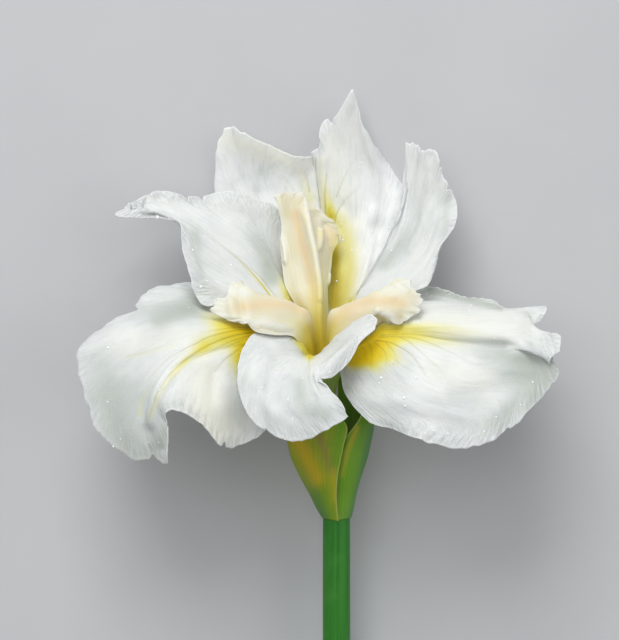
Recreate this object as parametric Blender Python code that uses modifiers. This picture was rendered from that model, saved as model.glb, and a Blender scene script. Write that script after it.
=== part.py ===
"""A white siberian iris flower, picked with a length of stem and laid on its back.

The numbers are millimetres in the flower's own frame: right, up (along the stem, towards the
petals) and out (towards someone who looks into the flower). The heart of the flower is at 0, 0, 0.
Right and up are written as they look from EYE_DISTANCE in front of the flower, and seen() moves a
point along that line of sight to its depth. The finished pieces hang from an empty that lays the
flower on its surface, in metres, with +Z up and the origin under the middle of its box.
"""

import math

import bmesh
import bpy
import numpy as np
from mathutils import Matrix, Vector

MM = 0.001

# the eye that the petals' outlines are written for
EYE_DISTANCE = 750.0
EYE_RIGHT = -2.1
EYE_UP = 5.0

# how the flower lies: its stem's cut end and the backs of its petals touch the surface
LEAN_BACK = math.radians(8.0)
HEART_HEIGHT = 17.0
SURFACE_SIZE = 400.0

PETAL_THICKNESS = 0.7
STYLE_THICKNESS = 0.7
SPATHE_THICKNESS = 0.8

# how many points each blade's solid has from side to side and from root to tip
FALL_GRID = (42, 11)
FALL_BACK_GRID = (40, 11)
STANDARD_GRID = (36, 10)
STYLE_GRID = (13, 15)
SPATHE_GRID = (13, 13)

# how far the petals' margins wave
RUFFLE = 0.4

# the stem, a little thicker at its foot, and the tube that the petals stand on
STEM_RADIUS = 2.7
STEM_SWELL = 1.04
STEM_TOP = -34.8
STEM_END = -104.0
STEM_RIGHT = 3.3
STEM_POINTS = 9
TUBE_FOOT = (3.2, -34.5, 0.0)
TUBE_LEAN = math.radians(5.5)
TUBE_PROFILE = (
    (0.0, 0.0), (1.7, 0.0), (1.9, 3.0), (2.3, 9.0), (2.2, 14.0), (1.7, 19.0), (1.9, 23.0),
    (2.7, 26.5), (3.7, 28.6), (3.8, 29.0), (2.6, 29.0), (0.8, 29.0), (0.7, 31.5), (0.0, 32.2),
)
TUBE_SIDES = 20

# the blades and stamens start just above the tube's rim, in three rings
ROOT_HEIGHT = 29.5
ROOT_POINTS = 5
CLAW_RADIUS = 3.1
STYLE_ROOT_RADIUS = 1.45
STAMEN_ROOT_RADIUS = 2.3

# each petal's rings of points, from its throat to its margin, evenly spread from side to side,
# and its folds, each with its place from side to side, its width and its height

FALL_LEFT = dict(
    azimuths=(185, 235),
    waves=9,
    folds=((0.71, 0.035, 0.6),),
    throat=((-6.2, 2.2, 0.8), (-8.0, 2.6, 2.6), (-9.6, 2.4, 4.4), (-10.8, 2.2, 6.0),
            (-11.2, 1.2, 6.6), (-10.8, 0.0, 6.8), (-8.6, -1.8, 6.2), (-5.0, -3.6, 4.6)),
    shoulder=((-11.0, 5.2, -3.6), (-18.0, 5.6, 1.8), (-23.4, 4.8, 8.0), (-26.4, 1.6, 11.6),
              (-27.4, -1.4, 14.0), (-26.2, -3.2, 15.2), (-19.0, -5.6, 13.4), (-6.2, -6.0, 4.6)),
    blade=((-18.2, 9.4, -5.5), (-27.6, 9.0, -1.0), (-37.0, 3.6, 5.6), (-39.4, -6.6, 11.6),
           (-34.6, -13.6, 17.4), (-32.2, -9.6, 19.6), (-20.4, -12.6, 17.4), (-7.8, -11.4, 7.2)),
    margin=((-25.0, 13.0, -6.8), (-30.0, 12.4, -7.0), (-34.0, 10.8, -6.4), (-36.8, 8.8, -5.0),
            (-38.0, 6.0, -3.6), (-41.8, 4.6, -1.4), (-46.4, 1.8, 1.6), (-48.6, -2.0, 4.6),
            (-48.8, -6.6, 7.6), (-46.8, -11.6, 10.6), (-45.0, -17.0, 13.4), (-41.6, -20.4, 15.4),
            (-37.4, -23.2, 17.2), (-33.4, -23.0, 18.6), (-30.6, -24.0, 19.6), (-30.4, -20.8, 20.4),
            (-31.6, -16.6, 21.0), (-30.8, -13.6, 21.2), (-27.2, -13.8, 20.4), (-23.4, -16.2, 19.0),
            (-20.4, -20.0, 17.0), (-17.2, -20.8, 15.0), (-13.6, -19.2, 12.6), (-10.0, -16.6, 10.2)),
)

FALL_RIGHT = dict(
    azimuths=(355, 305),
    waves=9,
    folds=((0.495, 0.045, -1.5), (0.39, 0.07, 0.9)),
    throat=((6.6, 2.6, 0.6), (9.0, 3.6, 2.2), (11.0, 4.0, 4.2), (12.0, 3.2, 5.4),
            (11.8, 2.0, 6.2), (10.4, 0.6, 6.6), (7.4, -1.4, 6.2), (3.6, -4.2, 4.0)),
    shoulder=((9.6, 4.9, -1.8), (18.0, 6.6, 0.8), (23.5, 5.0, 5.0), (24.0, 1.8, 7.5),
              (23.5, -0.8, 9.5), (19.5, -4.6, 11.5), (12.5, -6.8, 10.6), (4.2, -6.4, 5.6)),
    blade=((13.4, 7.4, -4.3), (25.0, 8.0, 0.6), (34.5, 6.8, 4.2), (36.0, 0.8, 8.0),
           (33.0, -4.6, 12.0), (25.0, -10.0, 15.2), (14.2, -11.2, 13.2), (4.8, -9.2, 7.6)),
    lip=((17.4, 9.9, -5.7), (29.0, 7.6, -3.4), (40.6, 5.8, 2.6), (43.0, 0.6, 9.2),
         (40.8, -6.6, 13.4), (30.4, -15.4, 17.4), (16.4, -15.0, 14.6), (6.8, -12.4, 9.7)),
    margin=((21.4, 12.0, -6.6), (25.6, 10.8, -7.0), (29.6, 9.6, -7.0), (34.0, 8.6, -5.6),
            (37.8, 6.8, -3.4), (41.6, 6.6, -0.6), (45.2, 6.6, 2.2), (44.0, 4.0, 5.0),
            (44.4, 1.8, 7.0), (47.6, 2.2, 9.0), (48.2, -0.6, 11.0), (46.2, -3.2, 12.6),
            (47.8, -4.2, 12.0), (47.2, -6.6, 13.0), (45.0, -9.6, 14.0), (42.0, -13.0, 15.5),
            (37.8, -16.0, 17.0), (34.2, -18.4, 18.0), (29.6, -20.4, 18.5), (25.2, -20.8, 18.0),
            (20.0, -19.2, 16.5), (15.2, -17.2, 14.5), (10.2, -15.8, 12.0)),
)

FALL_BACK = dict(
    azimuths=(115, 65),
    waves=8,
    folds=((0.46, 0.035, -1.3),),
    throat=((-4.2, 5.6, -7.6), (-3.2, 7.8, -9.2), (-1.2, 9.0, -10.0), (1.2, 9.4, -10.6),
            (3.6, 9.0, -10.2), (5.2, 7.8, -9.2), (5.2, 5.6, -7.4)),
    shoulder=((-7.2, 9.6, -11.8), (-8.4, 17.4, -15.8), (-4.8, 21.2, -17.6), (1.0, 22.6, -18.2),
              (6.0, 21.2, -17.2), (8.8, 16.6, -14.6), (7.4, 9.2, -9.6)),
    blade=((-11.2, 15.8, -15.1), (-15.2, 27.4, -20.9), (-10.8, 32.6, -21.0), (0.3, 32.0, -19.4),
           (5.5, 36.0, -21.0), (12.4, 29.0, -20.7), (10.8, 12.6, -12.3)),
    margin=((-15.6, 21.0, -17.0), (-19.6, 26.6, -19.6), (-21.2, 31.0, -20.0), (-21.0, 37.0, -20.8),
            (-20.4, 41.0, -20.6), (-18.4, 44.0, -20.0), (-15.4, 42.8, -19.4), (-11.2, 40.6, -19.0),
            (-7.6, 38.8, -18.6), (-4.0, 37.8, -18.2), (-0.8, 37.6, -18.0), (0.2, 39.6, -18.8),
            (-0.2, 42.0, -19.0), (0.6, 44.8, -19.0), (3.2, 46.2, -19.0), (6.2, 51.2, -17.5),
            (7.4, 48.2, -18.0), (8.6, 44.0, -19.0), (12.0, 39.0, -21.4), (15.0, 34.6, -21.8),
            (17.2, 30.2, -21.2), (17.2, 24.6, -19.0), (14.4, 18.0, -15.6)),
)

STANDARD_LEFT = dict(
    azimuths=(175, 125),
    waves=8,
    folds=((0.43, 0.03, 0.6),),
    throat=((-5.0, 3.6, -0.8), (-6.0, 5.0, -1.4), (-6.6, 6.0, -2.0), (-6.6, 6.8, -2.8),
            (-6.0, 7.4, -3.8), (-5.0, 7.2, -4.8), (-3.8, 5.6, -5.2)),
    shoulder=((-8.2, 6.8, -0.5), (-12.0, 9.6, -1.6), (-14.6, 13.2, -4.0), (-14.4, 16.2, -6.6),
              (-12.4, 17.6, -8.8), (-9.2, 16.2, -10.4), (-5.2, 9.8, -8.8)),
    blade=((-13.2, 8.2, -0.1), (-20.4, 12.0, 0.2), (-24.0, 18.2, -2.8), (-24.6, 23.2, -6.6),
           (-19.6, 25.0, -10.2), (-12.4, 23.2, -13.4), (-6.6, 14.8, -12.2)),
    margin=((-18.4, 8.4, 1.6), (-22.6, 7.6, 2.6), (-25.0, 9.8, 2.2), (-26.2, 13.6, 1.4),
            (-27.2, 18.0, 0.2), (-27.6, 21.4, -1.0), (-28.8, 25.2, -2.5), (-31.6, 26.2, -4.0),
            (-34.8, 25.8, -5.0), (-39.2, 25.8, -5.0), (-38.0, 27.8, -6.5), (-36.6, 29.0, -8.0),
            (-33.6, 30.8, -9.5), (-30.4, 30.6, -10.0), (-27.2, 29.8, -10.5), (-23.6, 30.0, -12.0),
            (-20.2, 30.6, -13.5), (-16.0, 30.4, -14.5), (-12.4, 29.2, -15.4), (-9.2, 27.8, -16.0),
            (-7.4, 24.4, -15.6), (-7.0, 19.6, -14.0)),
)

STANDARD_RIGHT = dict(
    azimuths=(55, 5),
    waves=8,
    folds=((0.42, 0.03, -0.5),),
    throat=((3.9, 5.4, -4.0), (5.0, 6.8, -4.2), (6.2, 7.4, -4.0), (7.2, 7.4, -3.4),
            (7.8, 6.8, -2.6), (7.6, 5.8, -2.0), (6.4, 4.4, -1.4)),
    shoulder=((7.6, 10.9, -6.2), (9.6, 12.8, -6.9), (12.0, 14.4, -7.4), (14.2, 14.6, -6.8),
              (15.4, 13.2, -5.4), (14.8, 10.8, -3.0), (13.2, 8.6, -0.9)),
    blade=((11.0, 16.8, -8.6), (13.6, 19.4, -9.4), (16.4, 21.4, -9.9), (19.2, 21.8, -9.2),
           (21.0, 19.6, -7.0), (20.8, 15.6, -3.8), (18.6, 10.6, -0.5)),
    lip=((14.0, 22.0, -10.4), (16.0, 26.6, -11.6), (18.2, 29.8, -12.3), (20.8, 30.0, -11.3),
         (23.4, 27.4, -9.0), (24.2, 21.6, -5.8), (21.4, 11.8, -0.5)),
    margin=((16.4, 26.6, -12.0), (17.4, 30.2, -13.0), (17.2, 34.0, -13.5), (17.0, 38.0, -14.0),
            (17.2, 40.4, -14.0), (19.2, 40.4, -13.0), (20.4, 39.0, -12.0), (22.4, 39.4, -11.0),
            (24.0, 37.4, -10.0), (24.2, 34.6, -9.5), (26.0, 31.8, -9.0), (27.4, 28.0, -8.0),
            (27.4, 24.8, -6.5), (25.2, 21.4, -5.0), (23.6, 17.8, -3.5), (22.8, 14.8, -2.0)),
)

STANDARD_FRONT = dict(
    azimuths=(245, 295),
    waves=8,
    folds=((0.5, 0.03, 0.5),),
    throat=((-3.0, -1.6, 4.9), (-3.2, -2.0, 5.6), (-2.8, -2.4, 6.0), (-1.9, -2.6, 6.1),
            (-1.0, -2.4, 5.8), (-0.2, -2.0, 5.2), (0.4, -1.6, 4.6)),
    shoulder=((-5.4, -0.3, 6.0), (-8.2, -2.0, 10.2), (-6.2, -6.0, 15.0), (-2.4, -7.0, 16.4),
              (-1.2, -5.0, 13.6), (3.0, -1.4, 9.8), (1.8, 0.2, 5.2)),
    blade=((-8.6, 0.9, 7.4), (-12.4, -2.6, 13.4), (-9.8, -12.0, 20.6), (0.5, -11.6, 21.8),
           (-0.6, -6.6, 15.8), (6.8, 1.2, 11.4), (3.8, 2.0, 6.4)),
    margin=((-11.4, 1.5, 8.6), (-14.2, 1.0, 10.8), (-16.0, -2.4, 13.4), (-16.6, -6.6, 16.0),
            (-16.0, -10.6, 18.4), (-14.0, -14.8, 20.4), (-10.8, -17.2, 21.6), (-6.8, -19.2, 22.4),
            (-2.6, -19.0, 22.8), (1.2, -17.2, 23.0), (5.2, -14.8, 23.0), (5.2, -13.4, 22.6),
            (4.0, -11.0, 21.2), (1.6, -8.8, 19.0), (-0.4, -7.0, 16.6), (2.4, -6.6, 14.8),
            (5.8, -3.4, 13.4), (8.2, 0.4, 12.4), (11.2, 4.2, 11.4), (10.2, 6.2, 9.6),
            (6.8, 4.8, 8.2)),
)

# a style arm's rows run from its throat to its crest, each from its far edge over the ridge

STYLE_LEFT = dict(
    azimuths=(160, 260),
    rows=(
        ((-2.0, 0.6, -1.0), (-2.2, 2.4, 0.0), (-2.2, 3.0, 1.4), (-2.2, 1.0, 2.8), (-2.0, -2.2, 3.4)),
        ((-4.0, 4.6, 0.0), (-4.4, 7.2, 1.0), (-4.6, 7.8, 3.0), (-4.8, 5.4, 5.2), (-4.8, 0.6, 6.4)),
        ((-8.4, 6.6, 1.4), (-8.6, 8.8, 2.4), (-8.8, 9.4, 4.4), (-9.0, 6.6, 7.2), (-9.0, 1.8, 8.8)),
        ((-12.4, 7.6, 2.2), (-12.4, 9.8, 3.0), (-12.4, 10.4, 4.8), (-12.8, 7.4, 8.0), (-13.0, 2.6, 9.6)),
        ((-15.0, 9.8, 2.6), (-15.2, 11.6, 3.4), (-15.4, 11.8, 4.8), (-16.6, 8.2, 7.8), (-16.2, 4.4, 9.6)),
        ((-14.8, 11.4, 2.6), (-16.2, 12.6, 3.2), (-17.8, 12.8, 4.0), (-18.8, 12.2, 4.8),
         (-19.4, 10.0, 5.8), (-21.6, 8.8, 6.6), (-22.8, 8.4, 7.0), (-22.6, 7.2, 7.6),
         (-20.6, 5.8, 8.4), (-19.2, 5.0, 8.8), (-17.6, 4.8, 9.2)),
    ),
)

STYLE_RIGHT = dict(
    azimuths=(20, -80),
    rows=(
        ((1.8, 0.6, -1.0), (2.0, 2.4, 0.0), (2.0, 3.0, 1.4), (2.0, 1.2, 2.8), (2.0, -1.8, 3.4)),
        ((3.8, 4.6, 0.0), (4.0, 7.0, 1.0), (4.2, 7.6, 3.0), (4.4, 5.6, 5.0), (4.4, 1.8, 5.8)),
        ((8.2, 6.6, 1.4), (8.4, 8.6, 2.4), (8.6, 9.2, 4.4), (9.0, 6.8, 6.6), (9.0, 3.8, 7.4)),
        ((12.2, 9.0, 2.2), (12.2, 10.8, 3.0), (12.4, 11.0, 4.8), (12.6, 8.0, 7.0), (11.8, 4.0, 7.9)),
        ((14.0, 11.2, 2.2), (14.4, 12.8, 3.0), (15.0, 12.2, 4.6), (15.6, 8.4, 6.8), (13.4, 3.6, 7.8)),
        ((14.2, 12.2, 2.4), (15.2, 13.6, 3.0), (17.0, 14.2, 3.6), (20.0, 13.0, 4.2),
         (19.4, 12.0, 4.8), (20.2, 10.4, 5.6), (21.0, 8.8, 6.2), (20.4, 7.0, 6.8),
         (19.0, 4.8, 7.2), (15.6, 3.4, 7.6), (13.6, 3.6, 7.8)),
    ),
)

STYLE_BACK = dict(
    azimuths=(140, 40),
    rows=(
        ((-2.6, 4.0, -3.0), (-1.6, 4.6, -2.6), (-0.2, 5.0, -2.4), (0.9, 4.6, -2.8), (1.6, 4.0, -3.6)),
        ((-6.6, 11.4, -5.4), (-3.8, 12.2, -5.2), (-0.6, 12.6, -4.8), (1.0, 12.4, -5.8), (1.9, 12.0, -7.2)),
        ((-8.0, 18.8, -10.2), (-4.8, 19.2, -9.0), (-1.0, 19.4, -7.8), (0.8, 19.0, -9.4), (3.2, 18.6, -11.4)),
        ((-7.8, 25.0, -12.6), (-5.0, 25.4, -11.4), (-2.2, 25.0, -10.2), (0.4, 24.2, -11.6),
         (4.4, 22.6, -13.0)),
        ((-9.4, 30.0, -13.6), (-8.6, 30.8, -13.4), (-6.8, 30.6, -13.0), (-4.8, 30.4, -12.4),
         (-3.4, 31.2, -12.0), (-2.8, 29.0, -12.0), (0.0, 27.2, -12.4), (2.6, 25.4, -13.2),
         (4.0, 23.6, -13.4)),
    ),
)

# a stamen lies under its style arm, over the haft of the fall

STAMENS = dict(
    stamen_left=dict(
        azimuth=210,
        path=((-3.8, 0.0, 2.6), (-6.8, 3.8, 3.6), (-10.0, 5.6, 4.6), (-13.6, 6.2, 5.4)),
    ),
    stamen_right=dict(
        azimuth=330,
        path=((3.8, 0.0, 2.4), (6.8, 4.0, 3.2), (10.0, 5.8, 4.2), (13.4, 6.6, 5.0)),
    ),
    stamen_back=dict(
        azimuth=90,
        path=((-0.2, 3.6, -5.4), (-1.0, 10.0, -8.6), (-1.6, 15.6, -11.8), (-1.8, 21.0, -14.4)),
    ),
)
FILAMENT_RADIUS = 0.4
STAMEN_SWELL = (1.0, 0.9, 0.9, 2.0, 1.5)
STAMEN_POINTS = 13

# a spathe's rows run from its base to its tip, each from its front edge round to its back edge

SPATHE_LEFT = (
    ((3.0, -34.5, 2.7), (1.4, -34.5, 1.9), (0.7, -34.5, 0.0), (1.4, -34.5, -1.8), (3.0, -34.5, -2.7)),
    ((3.3, -30.2, 4.1), (0.2, -30.2, 3.1), (-1.5, -30.2, 0.2), (0.0, -30.2, -2.8), (3.6, -30.2, -4.3)),
    ((3.7, -25.4, 4.9), (-0.8, -25.4, 4.4), (-4.0, -25.4, 0.8), (-2.0, -25.4, -3.0), (4.2, -25.4, -5.0)),
    ((4.7, -20.4, 5.1), (-1.4, -20.4, 5.4), (-5.8, -20.4, 1.8), (-3.8, -20.4, -2.4), (2.8, -20.4, -5.2)),
    ((5.2, -15.8, 4.8), (-0.8, -15.4, 5.6), (-6.0, -14.8, 2.6), (-4.6, -14.8, -1.6), (0.0, -15.0, -4.0)),
    ((0.2, -12.6, 5.0), (-2.2, -12.2, 4.8), (-4.4, -11.8, 3.2), (-4.6, -11.8, 1.4), (-3.6, -12.0, -0.4)),
)

SPATHE_RIGHT = (
    ((3.9, -34.5, 2.4), (5.5, -34.5, 1.3), (5.9, -34.5, 0.0), (5.5, -34.5, -1.3), (3.9, -34.5, -2.4)),
    ((2.2, -30.2, 2.7), (5.8, -30.2, 2.0), (6.8, -30.2, 0.0), (5.8, -30.2, -2.2), (2.8, -30.2, -2.9)),
    ((2.4, -25.4, 3.4), (6.6, -25.4, 3.0), (8.2, -25.4, 0.2), (6.8, -25.4, -2.8), (2.6, -25.4, -3.6)),
    ((3.8, -20.4, 3.6), (7.8, -20.4, 3.2), (9.6, -20.4, 0.4), (7.6, -20.4, -3.0), (2.2, -20.4, -3.8)),
    ((8.0, -14.4, 3.0), (9.8, -15.0, 2.4), (10.4, -15.0, 0.2), (8.4, -14.0, -3.0), (3.4, -13.6, -4.2)),
    ((8.8, -9.6, 1.2), (9.2, -9.2, 0.4), (9.0, -8.8, -0.8), (7.8, -8.4, -2.4), (5.4, -8.4, -3.6)),
)

COLOURS = dict(
    petal=((0.86, 0.87, 0.88), 0.55),
    style=((0.90, 0.82, 0.66), 0.55),
    stem=((0.16, 0.34, 0.08), 0.50),
    spathe=((0.33, 0.45, 0.10), 0.50),
    tube=((0.55, 0.62, 0.22), 0.50),
    stamen=((0.85, 0.76, 0.50), 0.70),
)


def seen(points):
    """Moves points from the plane through the heart along their lines of sight to their depth."""
    points = np.array(points, float)
    scale = 1.0 - points[..., 2:] / EYE_DISTANCE
    eye = np.array((EYE_RIGHT, EYE_UP))
    points[..., :2] = eye + (points[..., :2] - eye) * scale
    return points


def spline(values, places):
    """Reads the smooth curve through evenly spread values at places that run from 0 to 1."""
    values = np.asarray(values, float)
    last = len(values) - 1
    slopes = np.gradient(values, axis=0)
    position = np.clip(places, 0.0, 1.0) * last
    start = np.minimum(position.astype(int), last - 1)
    part = (position - start).reshape((-1,) + (1,) * (values.ndim - 1))
    square, cube = part**2, part**3
    return (
        (2 * cube - 3 * square + 1) * values[start]
        + (cube - 2 * square + part) * slopes[start]
        + (3 * square - 2 * cube) * values[start + 1]
        + (cube - square) * slopes[start + 1]
    )


def sheet(rows, across, along):
    """Returns a grid of points, along x across, on the smooth surface through rows of points."""
    from_side_to_side = np.linspace(0.0, 1.0, across)
    curves = np.array([spline(row, from_side_to_side) for row in rows])
    return spline(curves, np.linspace(0.0, 1.0, along))


def facing(grid):
    """Returns the unit normals of a grid of points."""
    side = np.gradient(grid, axis=1)
    length = np.gradient(grid, axis=0)
    normals = np.cross(side, length)
    return normals / np.maximum(np.linalg.norm(normals, axis=2, keepdims=True), 1e-9)


def round_the_tube(radius, azimuth, height):
    """A point beside the leaning tube: azimuth 0 is right, 90 is the back and 270 the front."""
    angle = math.radians(azimuth)
    right = radius * math.cos(angle)
    return (
        TUBE_FOOT[0] + right * math.cos(TUBE_LEAN) - height * math.sin(TUBE_LEAN),
        TUBE_FOOT[1] + right * math.sin(TUBE_LEAN) + height * math.cos(TUBE_LEAN),
        TUBE_FOOT[2] - radius * math.sin(angle),
    )


def foot(radius, azimuths):
    """The row of points where a petal or a style arm stands on the rim of the tube."""
    return [
        round_the_tube(radius, azimuth, ROOT_HEIGHT)
        for azimuth in np.linspace(azimuths[0], azimuths[1], ROOT_POINTS)
    ]


def new_object(name, mesh, finish):
    """Adds a mesh object to the flower's collection, with its material, under the flower's empty."""
    thing = bpy.data.objects.new(name, mesh)
    mesh.shade_smooth()
    mesh.materials.append(material(finish))
    flower_collection.objects.link(thing)
    thing.parent = flower
    return thing


def material(finish):
    """One Principled material for each finish."""
    found = bpy.data.materials.get(finish)
    if found:
        return found
    made = bpy.data.materials.new(finish)
    made.use_nodes = True
    shader = made.node_tree.nodes["Principled BSDF"]
    colour, roughness = COLOURS[finish]
    shader.inputs["Base Color"].default_value = (*colour, 1.0)
    shader.inputs["Roughness"].default_value = roughness
    return made


def grid_mesh(name, grid):
    """Makes an open mesh from a grid of points in millimetres."""
    along, across = grid.shape[:2]
    mesh = bpy.data.meshes.new(name)
    corners = [
        (row * across + column, row * across + column + 1,
         (row + 1) * across + column + 1, (row + 1) * across + column)
        for row in range(along - 1)
        for column in range(across - 1)
    ]
    mesh.from_pydata((grid.reshape(-1, 3) * MM).tolist(), [], corners)
    return mesh


def blade(name, grid, thickness, finish):
    """A thin leaf-like solid: an open sheet, split into triangles and given its thickness."""
    thing = new_object(name, grid_mesh(name, grid), finish)
    thing.modifiers.new("split", "TRIANGULATE").quad_method = "FIXED"
    wall = thing.modifiers.new("wall", "SOLIDIFY")
    wall.thickness = thickness * MM
    wall.offset = 0.0
    return thing


def ruffled(grid, waves, folds):
    """Waves a petal's margin and raises or sinks its folds, along the petal's own normals."""
    along, across = grid.shape[:2]
    outward = np.linspace(0.0, 1.0, along)[:, None, None]
    side = np.linspace(0.0, 1.0, across)[None, :, None]
    rise = RUFFLE * outward**4 * np.sin(2 * math.pi * waves * side)
    for place, width, height in folds:
        rise = rise + height * outward * np.exp(-(((side - place) / width) ** 2))
    return grid + facing(grid) * rise


def petal(name, shape, grid_size):
    """A fall or a standard, from its claw on the tube to its margin."""
    rings = [seen(shape[ring]) for ring in ("throat", "shoulder", "blade", "lip", "margin") if ring in shape]
    grid = sheet([foot(CLAW_RADIUS, shape["azimuths"])] + rings, *grid_size)
    grid = ruffled(grid, shape["waves"], shape["folds"])
    return blade(name, grid, PETAL_THICKNESS, "petal")


def style_arm(name, shape):
    """A petal-like style arm, a folded strap with a crest at its end."""
    rows = [foot(STYLE_ROOT_RADIUS, shape["azimuths"])] + [seen(row) for row in shape["rows"]]
    return blade(name, sheet(rows, *STYLE_GRID), STYLE_THICKNESS, "style")


def spathe(name, rows):
    """A bract that wraps the foot of the flower."""
    return blade(name, sheet([seen(row) for row in rows], *SPATHE_GRID), SPATHE_THICKNESS, "spathe")


def tube():
    """The ovary, the tube that the petals stand on and the foot of the styles, turned as one."""
    mesh = bpy.data.meshes.new("perianth_tube")
    shape = bmesh.new()
    corners = [shape.verts.new((radius * MM, 0.0, height * MM)) for radius, height in reversed(TUBE_PROFILE)]
    for first, second in zip(corners, corners[1:]):
        shape.edges.new((first, second))
    shape.to_mesh(mesh)
    shape.free()
    thing = new_object("perianth_tube", mesh, "tube")
    turn = thing.modifiers.new("turn", "SCREW")
    turn.steps = TUBE_SIDES
    turn.render_steps = TUBE_SIDES
    turn.use_merge_vertices = True
    turn.merge_threshold = 0.00001
    thing.matrix_local = (
        Matrix.Translation(Vector(TUBE_FOOT) * MM)
        @ Matrix.Rotation(TUBE_LEAN, 4, "Z")
        @ Matrix.Rotation(-math.pi / 2, 4, "X")
    )
    return thing


def rod(name, path, radius, swell, finish, sides):
    """A round rod along a path, made a closed mesh, with its radius times the swell at each point."""
    curve = bpy.data.curves.new(name, "CURVE")
    curve.dimensions = "3D"
    curve.bevel_depth = radius * MM
    curve.bevel_resolution = sides
    curve.use_fill_caps = True
    line = curve.splines.new("POLY")
    line.points.add(len(path) - 1)
    for point, place, size in zip(line.points, path, swell):
        point.co = (*(np.array(place) * MM), 1.0)
        point.radius = size
    guide = bpy.data.objects.new(name + "_guide", curve)
    flower_collection.objects.link(guide)
    bpy.context.view_layer.update()
    mesh = bpy.data.meshes.new_from_object(guide.evaluated_get(bpy.context.evaluated_depsgraph_get()))
    bpy.data.objects.remove(guide)
    bpy.data.curves.remove(curve)
    shape = bmesh.new()
    shape.from_mesh(mesh)
    bmesh.ops.remove_doubles(shape, verts=shape.verts, dist=0.000001)
    bmesh.ops.recalc_face_normals(shape, faces=shape.faces)
    shape.to_mesh(mesh)
    shape.free()
    mesh.name = name
    mesh.materials.clear()
    return new_object(name, mesh, finish)


def stem():
    """The cut stem, from its top under the spathes to its cut end."""
    heights = np.linspace(STEM_TOP, STEM_END, STEM_POINTS)
    path = [(STEM_RIGHT, height, 0.0) for height in heights]
    swell = np.linspace(1.0, STEM_SWELL, STEM_POINTS)
    return rod("stem", path, STEM_RADIUS, swell, "stem", sides=6)


def stamen(name, shape):
    """A stamen: a thin filament and its long anther."""
    places = np.linspace(0.0, 1.0, STAMEN_POINTS)
    root = round_the_tube(STAMEN_ROOT_RADIUS, shape["azimuth"], ROOT_HEIGHT)
    path = spline(np.vstack([[root], seen(shape["path"])]), places)
    return rod(name, path, FILAMENT_RADIUS, spline(STAMEN_SWELL, places), "stamen", sides=2)


def cut_flat(name, surface):
    """Gives a piece its small flat spots where it rests on the surface."""
    flat = bpy.data.objects[name].modifiers.new("rest", "BOOLEAN")
    flat.operation = "DIFFERENCE"
    flat.object = surface


def resting_surface():
    """A block whose top is the surface that the flower lies on, used only as a cutter."""
    bpy.ops.mesh.primitive_cube_add(size=SURFACE_SIZE * MM, location=(0.0, 0.0, -SURFACE_SIZE * MM / 2))
    block = bpy.context.object
    block.name = "surface"
    block.hide_render = True
    block.display_type = "WIRE"
    cutters = bpy.data.collections.new("cutters")
    bpy.context.scene.collection.children.link(cutters)
    for home in block.users_collection:
        home.objects.unlink(block)
    cutters.objects.link(block)
    return block


def lay_down():
    """Leans the flower back onto the surface, with the origin under the middle of its box."""
    flower.rotation_euler = (LEAN_BACK, 0.0, 0.0)
    flower.location = (0.0, 0.0, HEART_HEIGHT * MM)
    surface = resting_surface()
    for name in ("stem", "fall_back"):
        cut_flat(name, surface)
    bpy.context.view_layer.update()
    seen_now = bpy.context.evaluated_depsgraph_get()
    corners = []
    for thing in flower_collection.objects:
        if thing.type == "MESH":
            shown = thing.evaluated_get(seen_now)
            corners += [thing.matrix_world @ corner.co for corner in shown.data.vertices]
    for axis in (0, 1):
        side = [corner[axis] for corner in corners]
        flower.location[axis] = -(min(side) + max(side)) / 2


for old in list(bpy.data.objects):
    bpy.data.objects.remove(old)

flower_collection = bpy.data.collections.new("siberian iris flower")
bpy.context.scene.collection.children.link(flower_collection)
flower = bpy.data.objects.new("flower", None)
flower_collection.objects.link(flower)

stem()
tube()
spathe("spathe_left", SPATHE_LEFT)
spathe("spathe_right", SPATHE_RIGHT)
petal("fall_left", FALL_LEFT, FALL_GRID)
petal("fall_right", FALL_RIGHT, FALL_GRID)
petal("fall_back", FALL_BACK, FALL_BACK_GRID)
petal("standard_left", STANDARD_LEFT, STANDARD_GRID)
petal("standard_right", STANDARD_RIGHT, STANDARD_GRID)
petal("standard_front", STANDARD_FRONT, STANDARD_GRID)
style_arm("style_arm_left", STYLE_LEFT)
style_arm("style_arm_right", STYLE_RIGHT)
style_arm("style_arm_back", STYLE_BACK)
for name, shape in STAMENS.items():
    stamen(name, shape)

lay_down()
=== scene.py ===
"""A white siberian iris flower, picked and laid on its back, seen from straight in front of it.

The numbers are millimetres in the flower's own frame: right, up (along the stem, towards the
petals) and out (towards someone who looks into the flower). The heart of the flower is at 0, 0, 0.
"""

import math

import bmesh
import bpy
import numpy as np
from mathutils import Matrix, Vector


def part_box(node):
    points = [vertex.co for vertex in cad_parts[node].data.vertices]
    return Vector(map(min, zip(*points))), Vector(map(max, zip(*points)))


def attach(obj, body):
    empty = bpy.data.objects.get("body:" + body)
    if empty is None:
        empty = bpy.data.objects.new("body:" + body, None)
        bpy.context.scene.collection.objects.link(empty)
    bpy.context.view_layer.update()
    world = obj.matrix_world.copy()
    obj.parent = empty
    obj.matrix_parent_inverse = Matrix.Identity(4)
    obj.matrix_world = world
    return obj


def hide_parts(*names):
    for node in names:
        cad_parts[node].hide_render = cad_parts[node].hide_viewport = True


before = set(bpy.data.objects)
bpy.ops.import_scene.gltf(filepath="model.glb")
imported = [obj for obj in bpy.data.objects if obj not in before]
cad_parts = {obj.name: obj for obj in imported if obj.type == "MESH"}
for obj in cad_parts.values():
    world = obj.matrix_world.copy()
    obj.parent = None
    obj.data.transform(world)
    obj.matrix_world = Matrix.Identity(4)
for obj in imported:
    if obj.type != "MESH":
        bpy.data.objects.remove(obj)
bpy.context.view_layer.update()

MM = 0.001

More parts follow.
